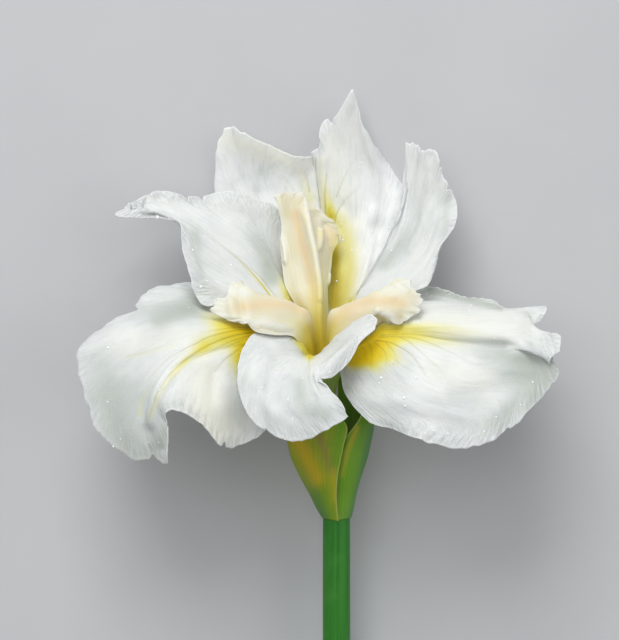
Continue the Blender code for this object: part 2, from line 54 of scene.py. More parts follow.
# the eye that the petals' outlines are written for, and the camera that stands there
EYE_DISTANCE = 750.0
EYE_RIGHT = -2.1
EYE_UP = 5.0
VIEW_WIDTH = 128.0
HEART_PIXEL = (320.0, 345.0)
PIXELS_PER_MM = 5.0
SENSOR_WIDTH = 36.0

# how the flower lies
LEAN_BACK = math.radians(8.0)
HEART_HEIGHT = 17.0

FLOOR_CLEARANCE = 0.02

# rows at one height lie a hair apart, so that the way from one to the next is known
STEM_HAIR = 1e-6
TUBE_HAIR = 1e-4

# the stem: how much wider it is at its cut end, how far its top reaches into the spathes, and its
# worn edges, each as a drop in height and what is left of the radius
STEM_RADIUS = 2.7
STEM_SWELL = 1.04
STEM_TOP = -34.8
STEM_HIDDEN = 0.9
STEM_END = -104.0
STEM_RIGHT = 3.3
STEM_EDGE = (0.3, 0.95)

# the ovary and the tube: its foot, its lean and its radius at each height above the foot
TUBE_FOOT = (3.2, -34.5, 0.0)
TUBE_LEAN = math.radians(5.5)
TUBE_PROFILE = (
    (0.0, 0.0), (1.7, 0.0), (1.9, 3.0), (2.3, 9.0), (2.2, 14.0), (1.7, 19.0), (1.9, 23.0),
    (2.7, 26.5), (3.7, 28.6), (3.8, 29.0), (2.6, 29.0), (0.8, 29.0), (0.7, 31.5), (0.0, 32.2),
)

# where the petals, the style arms and the stamens stand on the rim of the tube
ROOT_HEIGHT = 29.5
ROOT_POINTS = 5
CLAW_RADIUS = 3.1
STYLE_ROOT_RADIUS = 1.45
STAMEN_ROOT_RADIUS = 2.3

# a stamen's radius at places along it, from its root over the filament to the anther's end
STAMEN_PLACES = (0.0, 0.02, 0.6, 0.68, 0.8, 0.96, 1.0)
STAMEN_RADII = (0.0, 0.4, 0.36, 0.62, 0.78, 0.6, 0.0)
STAMEN_SQUASH = 0.7

# how finely each blade is drawn, from side to side and from root to tip, and each stalk along it
# and round it
FALL_GRID = (310, 84)
STANDARD_GRID = (300, 72)
STYLE_GRID = (160, 90)
SPATHE_GRID = (80, 90)
STEM_GRID = (60, 96)
TUBE_GRID = (92, 60)
STAMEN_GRID = (60, 24)

# the ribs round each stalk: their number and their share of the radius
STEM_RIBS = (14, 0.008)
TUBE_RIBS = (6, 0.03)
STAMEN_RIBS = (4, 0.06)

# the walls of the blades, in their middle and at their edge, and how wide the thinner edge is
PETAL_WALL = (0.5, 0.2)
STYLE_WALL = (0.6, 0.25)
SPATHE_WALL = (0.8, 0.36)
EDGE_WIDTH = 2.5
SPATHE_LENGTH = 23.0

# the petals' surface: rows that crowd a little towards the margin, the height of the ruffles, the
# number of soft cells in the margin's scallops, and the band along the margin that is crimped
ROW_CROWDING = 0.9
RUFFLE = 0.4
SCALLOP_CELLS = 90
SWAY_CELLS = (9, 6)
CRIMP_BAND = (5.0, 0.3)
CRIMP_WANDER = 0.8

# the style arms' surface: how ragged the crest is, in coarse and in fine cells, and the height
# of the hollows in the strap and of the frills along the crest
CREST_DEPTH = 0.045
CREST_CELLS = (22, 58)
FINE_SHARE = 0.8
HOLLOW_HEIGHT = 0.18
FRILL_HEIGHT = 0.22
FRILL_BAND = (3.5, 0.3)

# the spathes' surface: the height of its soft hollows, and its ribs' number and height
SPATHE_HOLLOW = 0.12
SPATHE_RIBS = (16, 0.02)

# each petal's rings of points, from its throat to its margin, evenly spread from side to side,
# and its folds, each with its place from side to side, its width and its height

FALL_LEFT = dict(
    azimuths=(185, 235),
    waves=9,
    folds=((0.71, 0.035, 0.6),),
    throat=((-6.2, 2.2, 0.8), (-8.0, 2.6, 2.6), (-9.6, 2.4, 4.4), (-10.8, 2.2, 6.0),
            (-11.2, 1.2, 6.6), (-10.8, 0.0, 6.8), (-8.6, -1.8, 6.2), (-5.0, -3.6, 4.6)),
    shoulder=((-11.0, 5.2, -3.6), (-18.0, 5.6, 1.8), (-23.4, 4.8, 8.0), (-26.4, 1.6, 11.6),
              (-27.4, -1.4, 14.0), (-26.2, -3.2, 15.2), (-19.0, -5.6, 13.4), (-6.2, -6.0, 4.6)),
    blade=((-18.2, 9.4, -5.5), (-27.6, 9.0, -1.0), (-37.0, 3.6, 5.6), (-39.4, -6.6, 11.6),
           (-34.6, -13.6, 17.4), (-32.2, -9.6, 19.6), (-20.4, -12.6, 17.4), (-7.8, -11.4, 7.2)),
    margin=((-25.0, 13.0, -6.8), (-30.0, 12.4, -7.0), (-34.0, 10.8, -6.4), (-36.8, 8.8, -5.0),
            (-38.0, 6.0, -3.6), (-41.8, 4.6, -1.4), (-46.4, 1.8, 1.6), (-48.6, -2.0, 4.6),
            (-48.8, -6.6, 7.6), (-46.8, -11.6, 10.6), (-45.0, -17.0, 13.4), (-41.6, -20.4, 15.4),
            (-37.4, -23.2, 17.2), (-33.4, -23.0, 18.6), (-30.6, -24.0, 19.6), (-30.4, -20.8, 20.4),
            (-31.6, -16.6, 21.0), (-30.8, -13.6, 21.2), (-27.2, -13.8, 20.4), (-23.4, -16.2, 19.0),
            (-20.4, -20.0, 17.0), (-17.2, -20.8, 15.0), (-13.6, -19.2, 12.6), (-10.0, -16.6, 10.2)),
)

FALL_RIGHT = dict(
    azimuths=(355, 305),
    waves=9,
    folds=((0.37, 0.07, 0.5),),
    throat=((6.6, 2.6, 0.6), (9.0, 3.6, 2.2), (11.0, 4.0, 4.2), (12.0, 3.2, 5.4),
            (11.8, 2.0, 6.2), (10.4, 0.6, 6.6), (7.4, -1.4, 6.2), (3.6, -4.2, 4.0)),
    shoulder=((9.6, 4.9, -1.8), (13.8, 6.0, -0.4), (18.0, 6.8, 1.2), (21.4, 6.6, 3.4),
              (23.6, 5.4, 5.4), (24.6, 3.6, 7.2), (24.6, 1.8, 7.8), (24.2, 0.8, 8.0),
              (23.4, -0.8, 9.4), (21.8, -2.8, 10.8), (19.4, -4.6, 11.6), (16.2, -6.0, 11.6),
              (12.4, -6.8, 10.6), (8.2, -6.9, 8.4), (4.2, -6.4, 5.6)),
    blade=((13.4, 7.4, -4.3), (19.4, 8.2, -2.2), (25.2, 8.2, 0.2), (30.6, 7.4, 2.8),
           (34.8, 5.8, 5.4), (36.8, 3.6, 7.8), (37.2, 1.4, 9.6), (36.6, 0.0, 9.2),
           (35.2, -2.2, 10.6), (32.6, -5.0, 12.6), (29.0, -7.8, 14.4), (24.4, -10.0, 15.4),
           (18.8, -11.2, 14.8), (11.6, -11.2, 12.0), (4.8, -9.2, 7.6)),
    lip=((17.4, 9.9, -5.7), (23.2, 9.0, -5.0), (29.0, 8.0, -3.4), (35.4, 7.2, -0.2),
         (40.6, 6.6, 3.0), (41.8, 3.6, 6.6), (43.0, 0.2, 10.0), (42.9, -1.7, 12.4),
         (42.5, -0.8, 10.4), (42.0, -3.8, 11.2), (39.6, -8.0, 13.2), (35.4, -12.0, 15.6),
         (28.6, -15.6, 17.2), (17.6, -15.2, 14.8), (6.8, -12.4, 9.7)),
    margin=((21.4, 12.0, -6.6), (25.6, 10.8, -7.0), (29.6, 9.6, -7.0), (34.0, 8.6, -5.6),
            (37.8, 6.9, -3.0), (41.6, 6.8, -0.2), (45.6, 7.0, 2.2), (42.8, 3.2, 5.0),
            (43.7, 0.3, 7.8), (47.8, 1.9, 9.0), (48.4, -0.8, 11.4), (46.4, -3.2, 12.8),
            (46.8, -3.0, 11.0), (47.8, -5.0, 11.8), (47.2, -7.4, 13.0), (45.0, -10.2, 14.0),
            (42.3, -13.5, 15.5), (38.4, -16.6, 17.0), (34.6, -19.3, 18.0), (30.0, -20.9, 18.5),
            (25.2, -20.8, 18.0), (20.0, -19.2, 16.5), (15.2, -17.2, 14.5), (10.2, -15.8, 12.0)),
)

FALL_BACK = dict(
    azimuths=(115, 65),
    waves=8,
    folds=((0.46, 0.035, -1.3),),
    throat=((-4.2, 5.6, -7.6), (-3.2, 7.8, -9.2), (-1.2, 9.0, -10.0), (1.2, 9.4, -10.6),
            (3.6, 9.0, -10.2), (5.2, 7.8, -9.2), (5.2, 5.6, -7.4)),
    shoulder=((-7.2, 9.6, -11.8), (-8.4, 17.4, -15.8), (-4.8, 21.2, -17.6), (1.0, 22.6, -18.2),
              (6.0, 21.2, -17.2), (8.8, 16.6, -14.6), (7.4, 9.2, -9.6)),
    blade=((-11.2, 15.8, -15.1), (-15.2, 27.4, -20.9), (-10.8, 32.6, -21.0), (0.3, 32.0, -19.4),
           (5.5, 36.0, -21.0), (12.4, 29.0, -20.7), (10.8, 12.6, -12.3)),
    margin=((-15.6, 21.0, -17.0), (-19.6, 26.6, -19.6), (-21.2, 31.0, -20.0), (-21.0, 37.0, -20.8),
            (-20.4, 41.0, -20.6), (-18.4, 44.0, -20.0), (-15.4, 42.8, -19.4), (-11.2, 40.6, -19.0),
            (-7.6, 38.8, -18.6), (-4.0, 37.8, -18.2), (-0.8, 37.6, -18.0), (0.2, 39.6, -18.8),
            (-0.2, 42.0, -19.0), (0.6, 44.8, -19.0), (3.2, 46.2, -19.0), (6.2, 51.2, -17.5),
            (7.4, 48.2, -18.0), (8.6, 44.0, -19.0), (12.0, 39.0, -21.4), (15.0, 34.6, -21.8),
            (17.2, 30.2, -21.2), (17.2, 24.6, -19.0), (14.4, 18.0, -15.6)),
)

STANDARD_LEFT = dict(
    azimuths=(175, 125),
    waves=8,
    folds=((0.43, 0.03, 0.6),),
    throat=((-5.0, 3.6, -0.8), (-6.0, 5.0, -1.4), (-6.6, 6.0, -2.0), (-6.6, 6.8, -2.8),
            (-6.0, 7.4, -3.8), (-5.0, 7.2, -4.8), (-3.8, 5.6, -5.2)),
    shoulder=((-8.2, 6.8, -0.5), (-12.0, 9.6, -1.6), (-14.6, 13.2, -4.0), (-14.4, 16.2, -6.6),
              (-12.4, 17.6, -8.8), (-9.2, 16.2, -10.4), (-5.2, 9.8, -8.8)),
    blade=((-13.2, 8.2, -0.1), (-20.4, 12.0, 0.2), (-25.8, 21.8, -3.2), (-28.2, 25.6, -6.3),
           (-22.4, 25.6, -9.4), (-12.8, 23.4, -13.2), (-6.6, 14.8, -12.2)),
    lip=((-15.8, 8.4, 0.9), (-20.0, 9.2, 1.4), (-22.6, 12.8, 0.8), (-24.9, 16.8, -0.4),
         (-27.0, 23.2, -2.3), (-32.0, 26.6, -4.5), (-36.8, 26.6, -5.6), (-35.2, 28.0, -7.2),
         (-31.4, 28.9, -8.6), (-27.4, 28.4, -9.7), (-22.8, 28.2, -11.3), (-17.5, 28.4, -12.9),
         (-12.2, 27.0, -14.4), (-9.2, 24.0, -14.9), (-6.8, 17.4, -13.2)),
    margin=((-18.4, 8.4, 1.6), (-22.6, 7.6, 2.6), (-25.0, 9.8, 2.2), (-26.2, 13.6, 1.4),
            (-27.2, 18.0, 0.2), (-27.6, 21.4, -1.0), (-28.4, 24.6, -2.5), (-32.0, 25.5, -4.0),
            (-36.2, 25.3, -5.0), (-41.0, 25.6, -5.4), (-38.4, 28.2, -6.8), (-36.0, 29.2, -8.2),
            (-33.2, 30.7, -9.5), (-30.4, 30.8, -10.0), (-27.2, 29.8, -10.5), (-23.6, 30.0, -12.0),
            (-20.2, 30.6, -13.5), (-16.0, 30.4, -14.5), (-12.4, 29.2, -15.4), (-9.2, 27.8, -16.0),
            (-7.4, 24.4, -15.6), (-7.0, 19.6, -14.0)),
)

STANDARD_RIGHT = dict(
    azimuths=(55, 5),
    waves=8,
    folds=((0.42, 0.05, -0.15),),
    throat=((3.9, 5.4, -4.0), (5.0, 6.8, -4.2), (6.2, 7.4, -4.0), (7.2, 7.4, -3.4),
            (7.8, 6.8, -2.6), (7.6, 5.8, -2.0), (6.4, 4.4, -1.4)),
    shoulder=((7.6, 10.9, -6.2), (9.6, 12.8, -6.9), (12.0, 14.4, -7.4), (14.2, 14.6, -6.8),
              (15.4, 13.2, -5.4), (14.8, 10.8, -3.0), (13.2, 8.6, -0.9)),
    blade=((11.0, 16.8, -8.6), (13.6, 19.4, -9.4), (16.4, 21.4, -9.9), (19.2, 21.8, -9.2),
           (21.0, 19.6, -7.0), (20.8, 15.6, -3.8), (18.6, 10.6, -0.5)),
    lip=((14.0, 22.0, -10.4), (16.0, 26.6, -11.6), (18.2, 29.8, -12.3), (20.8, 30.0, -11.3),
         (23.4, 27.4, -9.0), (24.2, 21.6, -5.8), (21.4, 11.8, -0.5)),
    margin=((16.4, 26.6, -12.0), (17.4, 30.2, -13.0), (17.2, 34.0, -13.5), (17.0, 38.0, -14.0),
            (17.2, 40.4, -14.0), (19.2, 40.4, -13.0), (20.4, 39.0, -12.0), (22.4, 39.4, -11.0),
            (24.0, 37.4, -10.0), (24.2, 34.6, -9.5), (26.0, 31.8, -9.0), (27.4, 28.0, -8.0),
            (27.4, 24.8, -6.5), (25.2, 21.4, -5.0), (23.6, 17.8, -3.5), (22.8, 14.8, -2.0)),
)

STANDARD_FRONT = dict(
    azimuths=(245, 295),
    waves=8,
    folds=((0.5, 0.03, 0.5),),
    throat=((-2.7, -1.0, 4.7), (-3.2, -2.0, 5.6), (-2.8, -2.4, 6.0), (-1.9, -2.6, 6.1),
            (-1.0, -2.4, 5.8), (-0.2, -2.0, 5.2), (0.4, -1.6, 4.6)),
    shoulder=((-5.0, 1.8, 5.2), (-8.2, -1.4, 10.0), (-6.2, -6.0, 15.0), (-2.4, -7.0, 16.4),
              (-1.2, -5.0, 13.6), (3.0, -1.4, 9.8), (1.8, 0.2, 5.2)),
    blade=((-8.6, 2.2, 6.8), (-12.4, -1.8, 13.2), (-9.8, -12.0, 20.6), (0.5, -11.6, 21.8),
           (-0.6, -6.6, 15.8), (6.8, 1.2, 11.4), (3.8, 2.0, 6.4)),
    margin=((-11.4, 2.9, 7.9), (-13.8, 2.0, 10.4), (-16.0, -2.0, 13.3), (-16.6, -6.6, 16.0),
            (-16.0, -10.6, 18.4), (-14.0, -14.8, 20.4), (-10.8, -17.2, 21.6), (-6.8, -19.2, 22.4),
            (-2.6, -19.0, 22.8), (1.2, -17.2, 23.0), (5.2, -14.8, 23.0), (5.2, -13.4, 22.6),
            (4.0, -11.0, 21.2), (1.6, -8.8, 19.0), (-0.4, -7.0, 16.6), (2.4, -6.6, 14.8),
            (5.8, -3.4, 13.4), (8.2, 0.4, 12.4), (11.2, 4.2, 11.4), (10.2, 6.2, 9.6),
            (6.8, 4.8, 8.2)),
)

# a style arm's rows run from its throat to its crest, each from its far edge over the ridge

STYLE_LEFT = dict(
    azimuths=(160, 260),
    rows=(
        ((-2.0, 0.6, -1.0), (-2.2, 2.6, 0.0), (-2.3, 4.2, 1.0), (-2.0, 5.3, 2.0), (-2.4, 4.6, 3.2),
         (-2.6, 3.0, 3.8), (-2.8, 1.2, 3.9), (-2.8, -0.4, 3.8), (-2.8, -2.0, 3.6)),
        ((-4.4, 4.6, 0.0), (-4.6, 6.4, 0.8), (-4.8, 7.5, 2.0), (-4.8, 7.7, 3.4), (-4.9, 6.6, 4.8),
         (-5.0, 5.2, 5.8), (-5.1, 3.6, 6.4), (-5.2, 2.4, 6.6), (-5.2, 1.6, 6.6)),
        ((-8.4, 6.8, 1.4), (-8.4, 8.2, 2.0), (-8.5, 9.1, 3.2), (-8.6, 9.1, 4.8), (-8.7, 7.9, 6.4),
         (-8.8, 6.3, 7.6), (-8.9, 4.6, 8.4), (-9.0, 3.1, 8.8), (-9.0, 2.0, 8.9)),
        ((-12.2, 7.6, 2.2), (-12.2, 9.0, 2.8), (-12.3, 10.0, 4.0), (-12.4, 9.7, 5.6), (-12.6, 8.3, 7.2),
         (-12.8, 6.6, 8.4), (-12.8, 5.0, 9.2), (-12.8, 3.5, 9.7), (-12.7, 2.6, 9.8)),
        ((-14.4, 9.6, 2.6), (-14.6, 11.0, 3.2), (-15.0, 11.8, 4.2), (-15.6, 11.0, 5.6), (-16.0, 9.4, 7.0),
         (-16.2, 7.7, 8.2), (-15.9, 6.2, 9.2), (-15.3, 5.0, 9.8), (-14.4, 4.2, 10.0)),
        ((-14.2, 11.0, 2.6), (-14.6, 12.2, 2.9), (-15.6, 12.5, 3.2), (-16.2, 13.0, 3.6),
         (-17.0, 12.4, 3.9), (-17.8, 13.0, 4.3), (-18.6, 12.0, 4.7), (-18.5, 10.8, 5.2),
         (-19.2, 9.8, 5.7), (-20.4, 9.6, 6.2), (-21.8, 9.2, 6.6), (-22.6, 8.3, 7.0),
         (-22.6, 7.0, 7.5), (-20.9, 5.9, 8.2), (-18.8, 5.0, 8.8), (-16.8, 4.6, 9.3),
         (-15.2, 4.3, 9.7)),
    ),
)

STYLE_RIGHT = dict(
    azimuths=(20, -80),
    rows=(
        ((2.0, 0.6, -1.0), (2.2, 2.6, 0.0), (2.3, 4.2, 1.0), (1.8, 5.4, 2.0), (2.2, 4.6, 3.0),
         (2.4, 3.2, 3.4), (2.4, 1.6, 3.5), (2.3, 0.0, 3.4), (2.2, -1.6, 3.4), (2.2, -2.0, 3.0),
         (2.3, -2.2, 2.6)),
        ((3.8, 4.6, 0.0), (4.0, 6.2, 0.8), (4.2, 7.3, 1.8), (4.4, 7.5, 3.0), (4.6, 6.6, 4.2),
         (4.7, 5.4, 5.0), (4.8, 4.2, 5.4), (4.8, 3.0, 5.6), (4.8, 1.8, 5.6), (4.9, 1.2, 5.0),
         (5.0, 0.8, 4.4)),
        ((8.2, 6.8, 1.4), (8.3, 8.2, 2.0), (8.5, 9.2, 3.2), (8.7, 9.1, 4.6), (8.9, 8.1, 5.8),
         (9.1, 7.0, 6.6), (9.3, 6.0, 7.0), (9.4, 5.0, 7.2), (9.4, 4.0, 7.2), (9.6, 3.4, 6.4),
         (10.0, 3.0, 5.6)),
        ((11.8, 8.8, 2.0), (12.0, 10.0, 2.6), (12.2, 10.9, 3.6), (12.6, 10.6, 5.0), (12.8, 9.6, 6.2),
         (12.8, 8.6, 7.0), (12.6, 7.7, 7.4), (12.0, 7.0, 7.5), (11.2, 6.4, 7.2), (11.6, 5.4, 6.2),
         (12.4, 4.6, 5.4)),
        ((13.6, 10.4, 2.2), (14.2, 11.9, 2.8), (15.0, 12.4, 3.6), (16.0, 11.4, 4.8), (16.4, 10.0, 6.0),
         (16.2, 8.6, 6.9), (15.6, 7.4, 7.4), (14.8, 6.6, 7.7), (13.9, 6.1, 7.5), (13.8, 4.9, 6.4),
         (14.0, 4.3, 5.6)),
        ((14.0, 12.0, 2.4), (15.0, 13.2, 2.7), (16.2, 13.7, 3.0), (17.4, 13.3, 3.3), (18.8, 12.9, 3.6),
         (18.4, 11.9, 4.0), (19.8, 10.7, 4.5), (20.6, 10.1, 4.9), (21.2, 8.9, 5.3), (20.5, 7.7, 5.8),
         (20.3, 6.6, 6.2), (19.3, 5.6, 6.6), (18.0, 5.0, 6.9), (16.6, 4.2, 7.1), (15.6, 3.6, 7.2),
         (14.9, 4.0, 7.4), (14.5, 5.0, 7.5), (14.2, 4.4, 6.8), (14.1, 4.0, 6.2)),
    ),
)

STYLE_BACK = dict(
    azimuths=(140, 40),
    rows=(
        ((-2.8, 4.2, -2.9), (-2.3, 4.5, -2.7), (-1.8, 4.7, -2.5), (-1.2, 4.8, -2.3), (-0.6, 4.9, -2.1),
         (0.0, 4.9, -1.9), (0.6, 4.8, -2.4), (1.1, 4.6, -2.9), (1.5, 4.4, -3.3)),
        ((-5.2, 8.6, -4.6), (-4.4, 8.8, -4.2), (-3.6, 9.0, -3.9), (-2.6, 9.1, -3.6), (-1.4, 9.2, -3.2),
         (0.0, 9.3, -2.6), (0.6, 9.2, -3.6), (1.1, 9.1, -4.6), (1.5, 9.0, -5.4)),
        ((-7.0, 12.0, -6.6), (-6.0, 12.2, -6.2), (-4.8, 12.4, -5.8), (-3.4, 12.5, -5.4), (-1.8, 12.6, -4.8),
         (-0.2, 12.6, -3.8), (0.5, 12.6, -5.2), (1.1, 12.5, -6.4), (1.5, 12.4, -7.2)),
        ((-7.5, 15.8, -8.6), (-6.6, 16.0, -8.2), (-5.4, 16.2, -7.8), (-4.0, 16.3, -7.2), (-2.4, 16.3, -6.4),
         (-0.6, 16.2, -5.2), (0.4, 16.1, -7.0), (1.3, 15.9, -8.6), (2.1, 15.6, -9.6)),
        ((-7.9, 20.0, -10.6), (-7.0, 20.2, -10.2), (-5.8, 20.3, -9.6), (-4.4, 20.4, -8.8),
         (-3.0, 20.4, -7.8), (-1.4, 20.2, -6.6), (0.0, 19.8, -8.8), (1.4, 19.2, -10.4), (2.6, 18.6, -11.4)),
        ((-7.7, 24.0, -12.2), (-6.9, 24.2, -11.8), (-5.8, 24.3, -11.2), (-4.6, 24.3, -10.4),
         (-3.4, 24.2, -9.4), (-2.1, 23.8, -8.4), (-0.4, 23.0, -10.4), (1.6, 22.0, -11.6),
         (3.6, 20.4, -12.6)),
        ((-8.4, 27.8, -13.0), (-7.6, 28.0, -12.7), (-6.5, 28.0, -12.2), (-5.3, 27.8, -11.6),
         (-4.1, 27.4, -10.9), (-2.8, 26.6, -10.2), (-1.0, 25.4, -11.6), (1.2, 23.8, -12.4),
         (4.0, 21.4, -13.0)),
        ((-9.5, 29.8, -13.4), (-9.4, 30.6, -13.3), (-8.2, 31.1, -13.1), (-6.8, 31.0, -12.8),
         (-5.6, 31.4, -12.5), (-4.6, 31.0, -12.2), (-3.6, 31.2, -12.0), (-2.8, 30.4, -11.8),
         (-2.6, 29.0, -11.8), (-1.4, 28.0, -12.0), (-0.4, 27.2, -12.3), (0.5, 26.8, -12.5),
         (1.8, 25.7, -12.8), (3.4, 24.3, -13.0), (4.3, 22.9, -13.2), (4.5, 21.2, -13.2),
         (3.9, 19.9, -12.8)),
    ),
)

# a stamen lies under its style arm, over the haft of the fall

STAMENS = dict(
    stamen_left=dict(
        azimuth=210,
        path=((-3.8, 0.0, 2.6), (-6.8, 3.8, 3.6), (-10.0, 5.6, 4.6), (-13.6, 6.2, 5.4)),
    ),
    stamen_right=dict(
        azimuth=330,
        path=((3.8, 0.0, 2.4), (6.8, 4.0, 3.2), (10.0, 5.8, 4.2), (13.4, 6.6, 5.0)),
    ),
    stamen_back=dict(
        azimuth=90,
        path=((-0.2, 3.6, -5.4), (-1.0, 10.0, -8.6), (-1.6, 15.6, -11.8), (-1.8, 21.0, -14.4)),
    ),
)

# a spathe's rows run from its base to its tip, each from its front edge round to its back edge

SPATHE_LEFT = (
    ((3.7, -35.2, 2.92), (1.3, -34.7, 2.1), (0.45, -34.4, 0.0), (1.3, -34.7, -2.1), (3.6, -35.1, -2.92)),
    ((3.3, -30.2, 4.1), (0.2, -30.2, 3.1), (-1.5, -30.2, 0.2), (0.0, -30.2, -2.8), (3.6, -30.2, -4.3)),
    ((3.7, -25.4, 4.9), (-0.8, -25.4, 4.4), (-4.0, -25.4, 0.8), (-2.0, -25.4, -3.0), (4.2, -25.4, -5.0)),
    ((4.7, -20.4, 5.1), (-1.4, -20.4, 5.4), (-5.8, -20.4, 1.8), (-3.8, -20.4, -2.4), (2.8, -20.4, -5.2)),
    ((5.2, -15.8, 4.8), (-0.8, -15.4, 5.6), (-6.0, -14.8, 2.6), (-4.6, -14.8, -1.6), (0.0, -15.0, -4.0)),
    ((0.2, -12.6, 5.0), (-2.2, -12.2, 4.8), (-4.4, -11.8, 3.2), (-4.6, -11.8, 1.4), (-3.6, -12.0, -0.4)),
)

SPATHE_RIGHT = (
    ((3.1, -35.1, 2.74), (5.4, -34.7, 1.98), (6.15, -34.4, 0.0), (5.4, -34.7, -1.98), (3.1, -35.0, -2.74)),
    ((2.2, -30.2, 2.7), (5.8, -30.2, 2.0), (6.8, -30.2, 0.0), (5.8, -30.2, -2.2), (2.8, -30.2, -2.9)),
    ((2.4, -25.4, 3.4), (6.6, -25.4, 3.0), (8.2, -25.4, 0.2), (6.8, -25.4, -2.8), (2.6, -25.4, -3.6)),
    ((3.8, -20.4, 3.6), (7.8, -20.4, 3.2), (9.6, -20.4, 0.4), (7.6, -20.4, -3.0), (2.2, -20.4, -3.8)),
    ((8.0, -14.4, 3.0), (9.8, -15.0, 2.4), (10.4, -15.0, 0.2), (8.4, -14.0, -3.0), (3.4, -13.6, -4.2)),
    ((8.8, -9.6, 1.2), (9.2, -9.2, 0.4), (8.8, -8.0, -0.8), (6.9, -6.4, -2.5), (3.6, -5.8, -3.9)),
)

# the larger beads of dew: where the photograph shows each, in its pixels, and its radius

DEW = (
    (157.5, 217, 0.44), (416, 378, 0.34), (404, 398, 0.36), (405, 406, 0.3), (381, 378, 0.34),
    (448, 434, 0.26),
    (231, 265, 0.34), (201, 287, 0.34), (207, 281, 0.2), (379, 383, 0.2), (392, 362, 0.22), (433, 431, 0.22),
    (285, 362, 0.24), (262, 388, 0.22), (303, 378, 0.2), (176, 349, 0.26), (108, 348, 0.3), (469, 311, 0.24),
    (471, 305, 0.26), (343, 240, 0.24), (352, 250, 0.2), (372, 232, 0.22), (388, 228, 0.26), (404, 222, 0.2),
    (247, 222, 0.22), (262, 238, 0.2), (210, 214, 0.22), (193, 250, 0.22), (330, 372, 0.22),
    (288, 400, 0.22),
)

# the tiny beads between them: their number, the part of the photograph that they are strewn over,
# the range of their radii, and their seed; all beads are flattened, and have few faces
SPECKS = 110
SPECKS_ACROSS = (70, 560)
SPECKS_DOWN = (90, 460)
SPECK_SIZES = (0.12, 0.22)
DEW_SEED = 43
BEAD_HEIGHT = 0.55
BEAD_SEGMENTS = 14
BEAD_RINGS = 9

# what the petals' edges and surfaces add to those rings: nicks in the margin (place, width and
# depth), how deep the margin is scalloped, how finely and strongly it is crimped, how far the
# blade sways, and the seed of all that

DETAILS = dict(
    fall_left=dict(
        nicks=((0.16, 0.008, 0.02), (0.565, 0.006, 0.03), (0.885, 0.005, 0.04)),
        scallop=0.016, crimps=60, crimp=0.1, sway=0.35, seed=3,
    ),
    fall_right=dict(
        nicks=((0.3, 0.006, 0.03), (0.75, 0.006, 0.02)),
        scallop=0.02, crimps=70, crimp=0.14, sway=0.3, seed=5,
    ),
    fall_back=dict(
        nicks=((0.62, 0.006, 0.03), (0.8, 0.01, 0.02)),
        scallop=0.01, crimps=42, crimp=0.06, sway=0.35, seed=7,
    ),
    standard_left=dict(
        nicks=((0.455, 0.008, 0.05), (0.5, 0.008, 0.06), (0.552, 0.008, 0.05), (0.667, 0.0045, 0.17),
               (0.712, 0.0045, 0.11), (0.8, 0.006, 0.03)),
        scallop=0.012, crimps=44, crimp=0.07, sway=0.3, seed=11,
    ),
    standard_right=dict(
        nicks=((0.667, 0.007, 0.035), (0.56, 0.006, 0.02), (0.85, 0.008, 0.03)),
        scallop=0.008, crimps=40, crimp=0.07, sway=0.22, seed=13,
    ),
    standard_front=dict(
        nicks=((0.3, 0.006, 0.02), (0.9, 0.008, 0.02)),
        scallop=0.01, crimps=36, crimp=0.06, sway=0.25, seed=17,
    ),
)
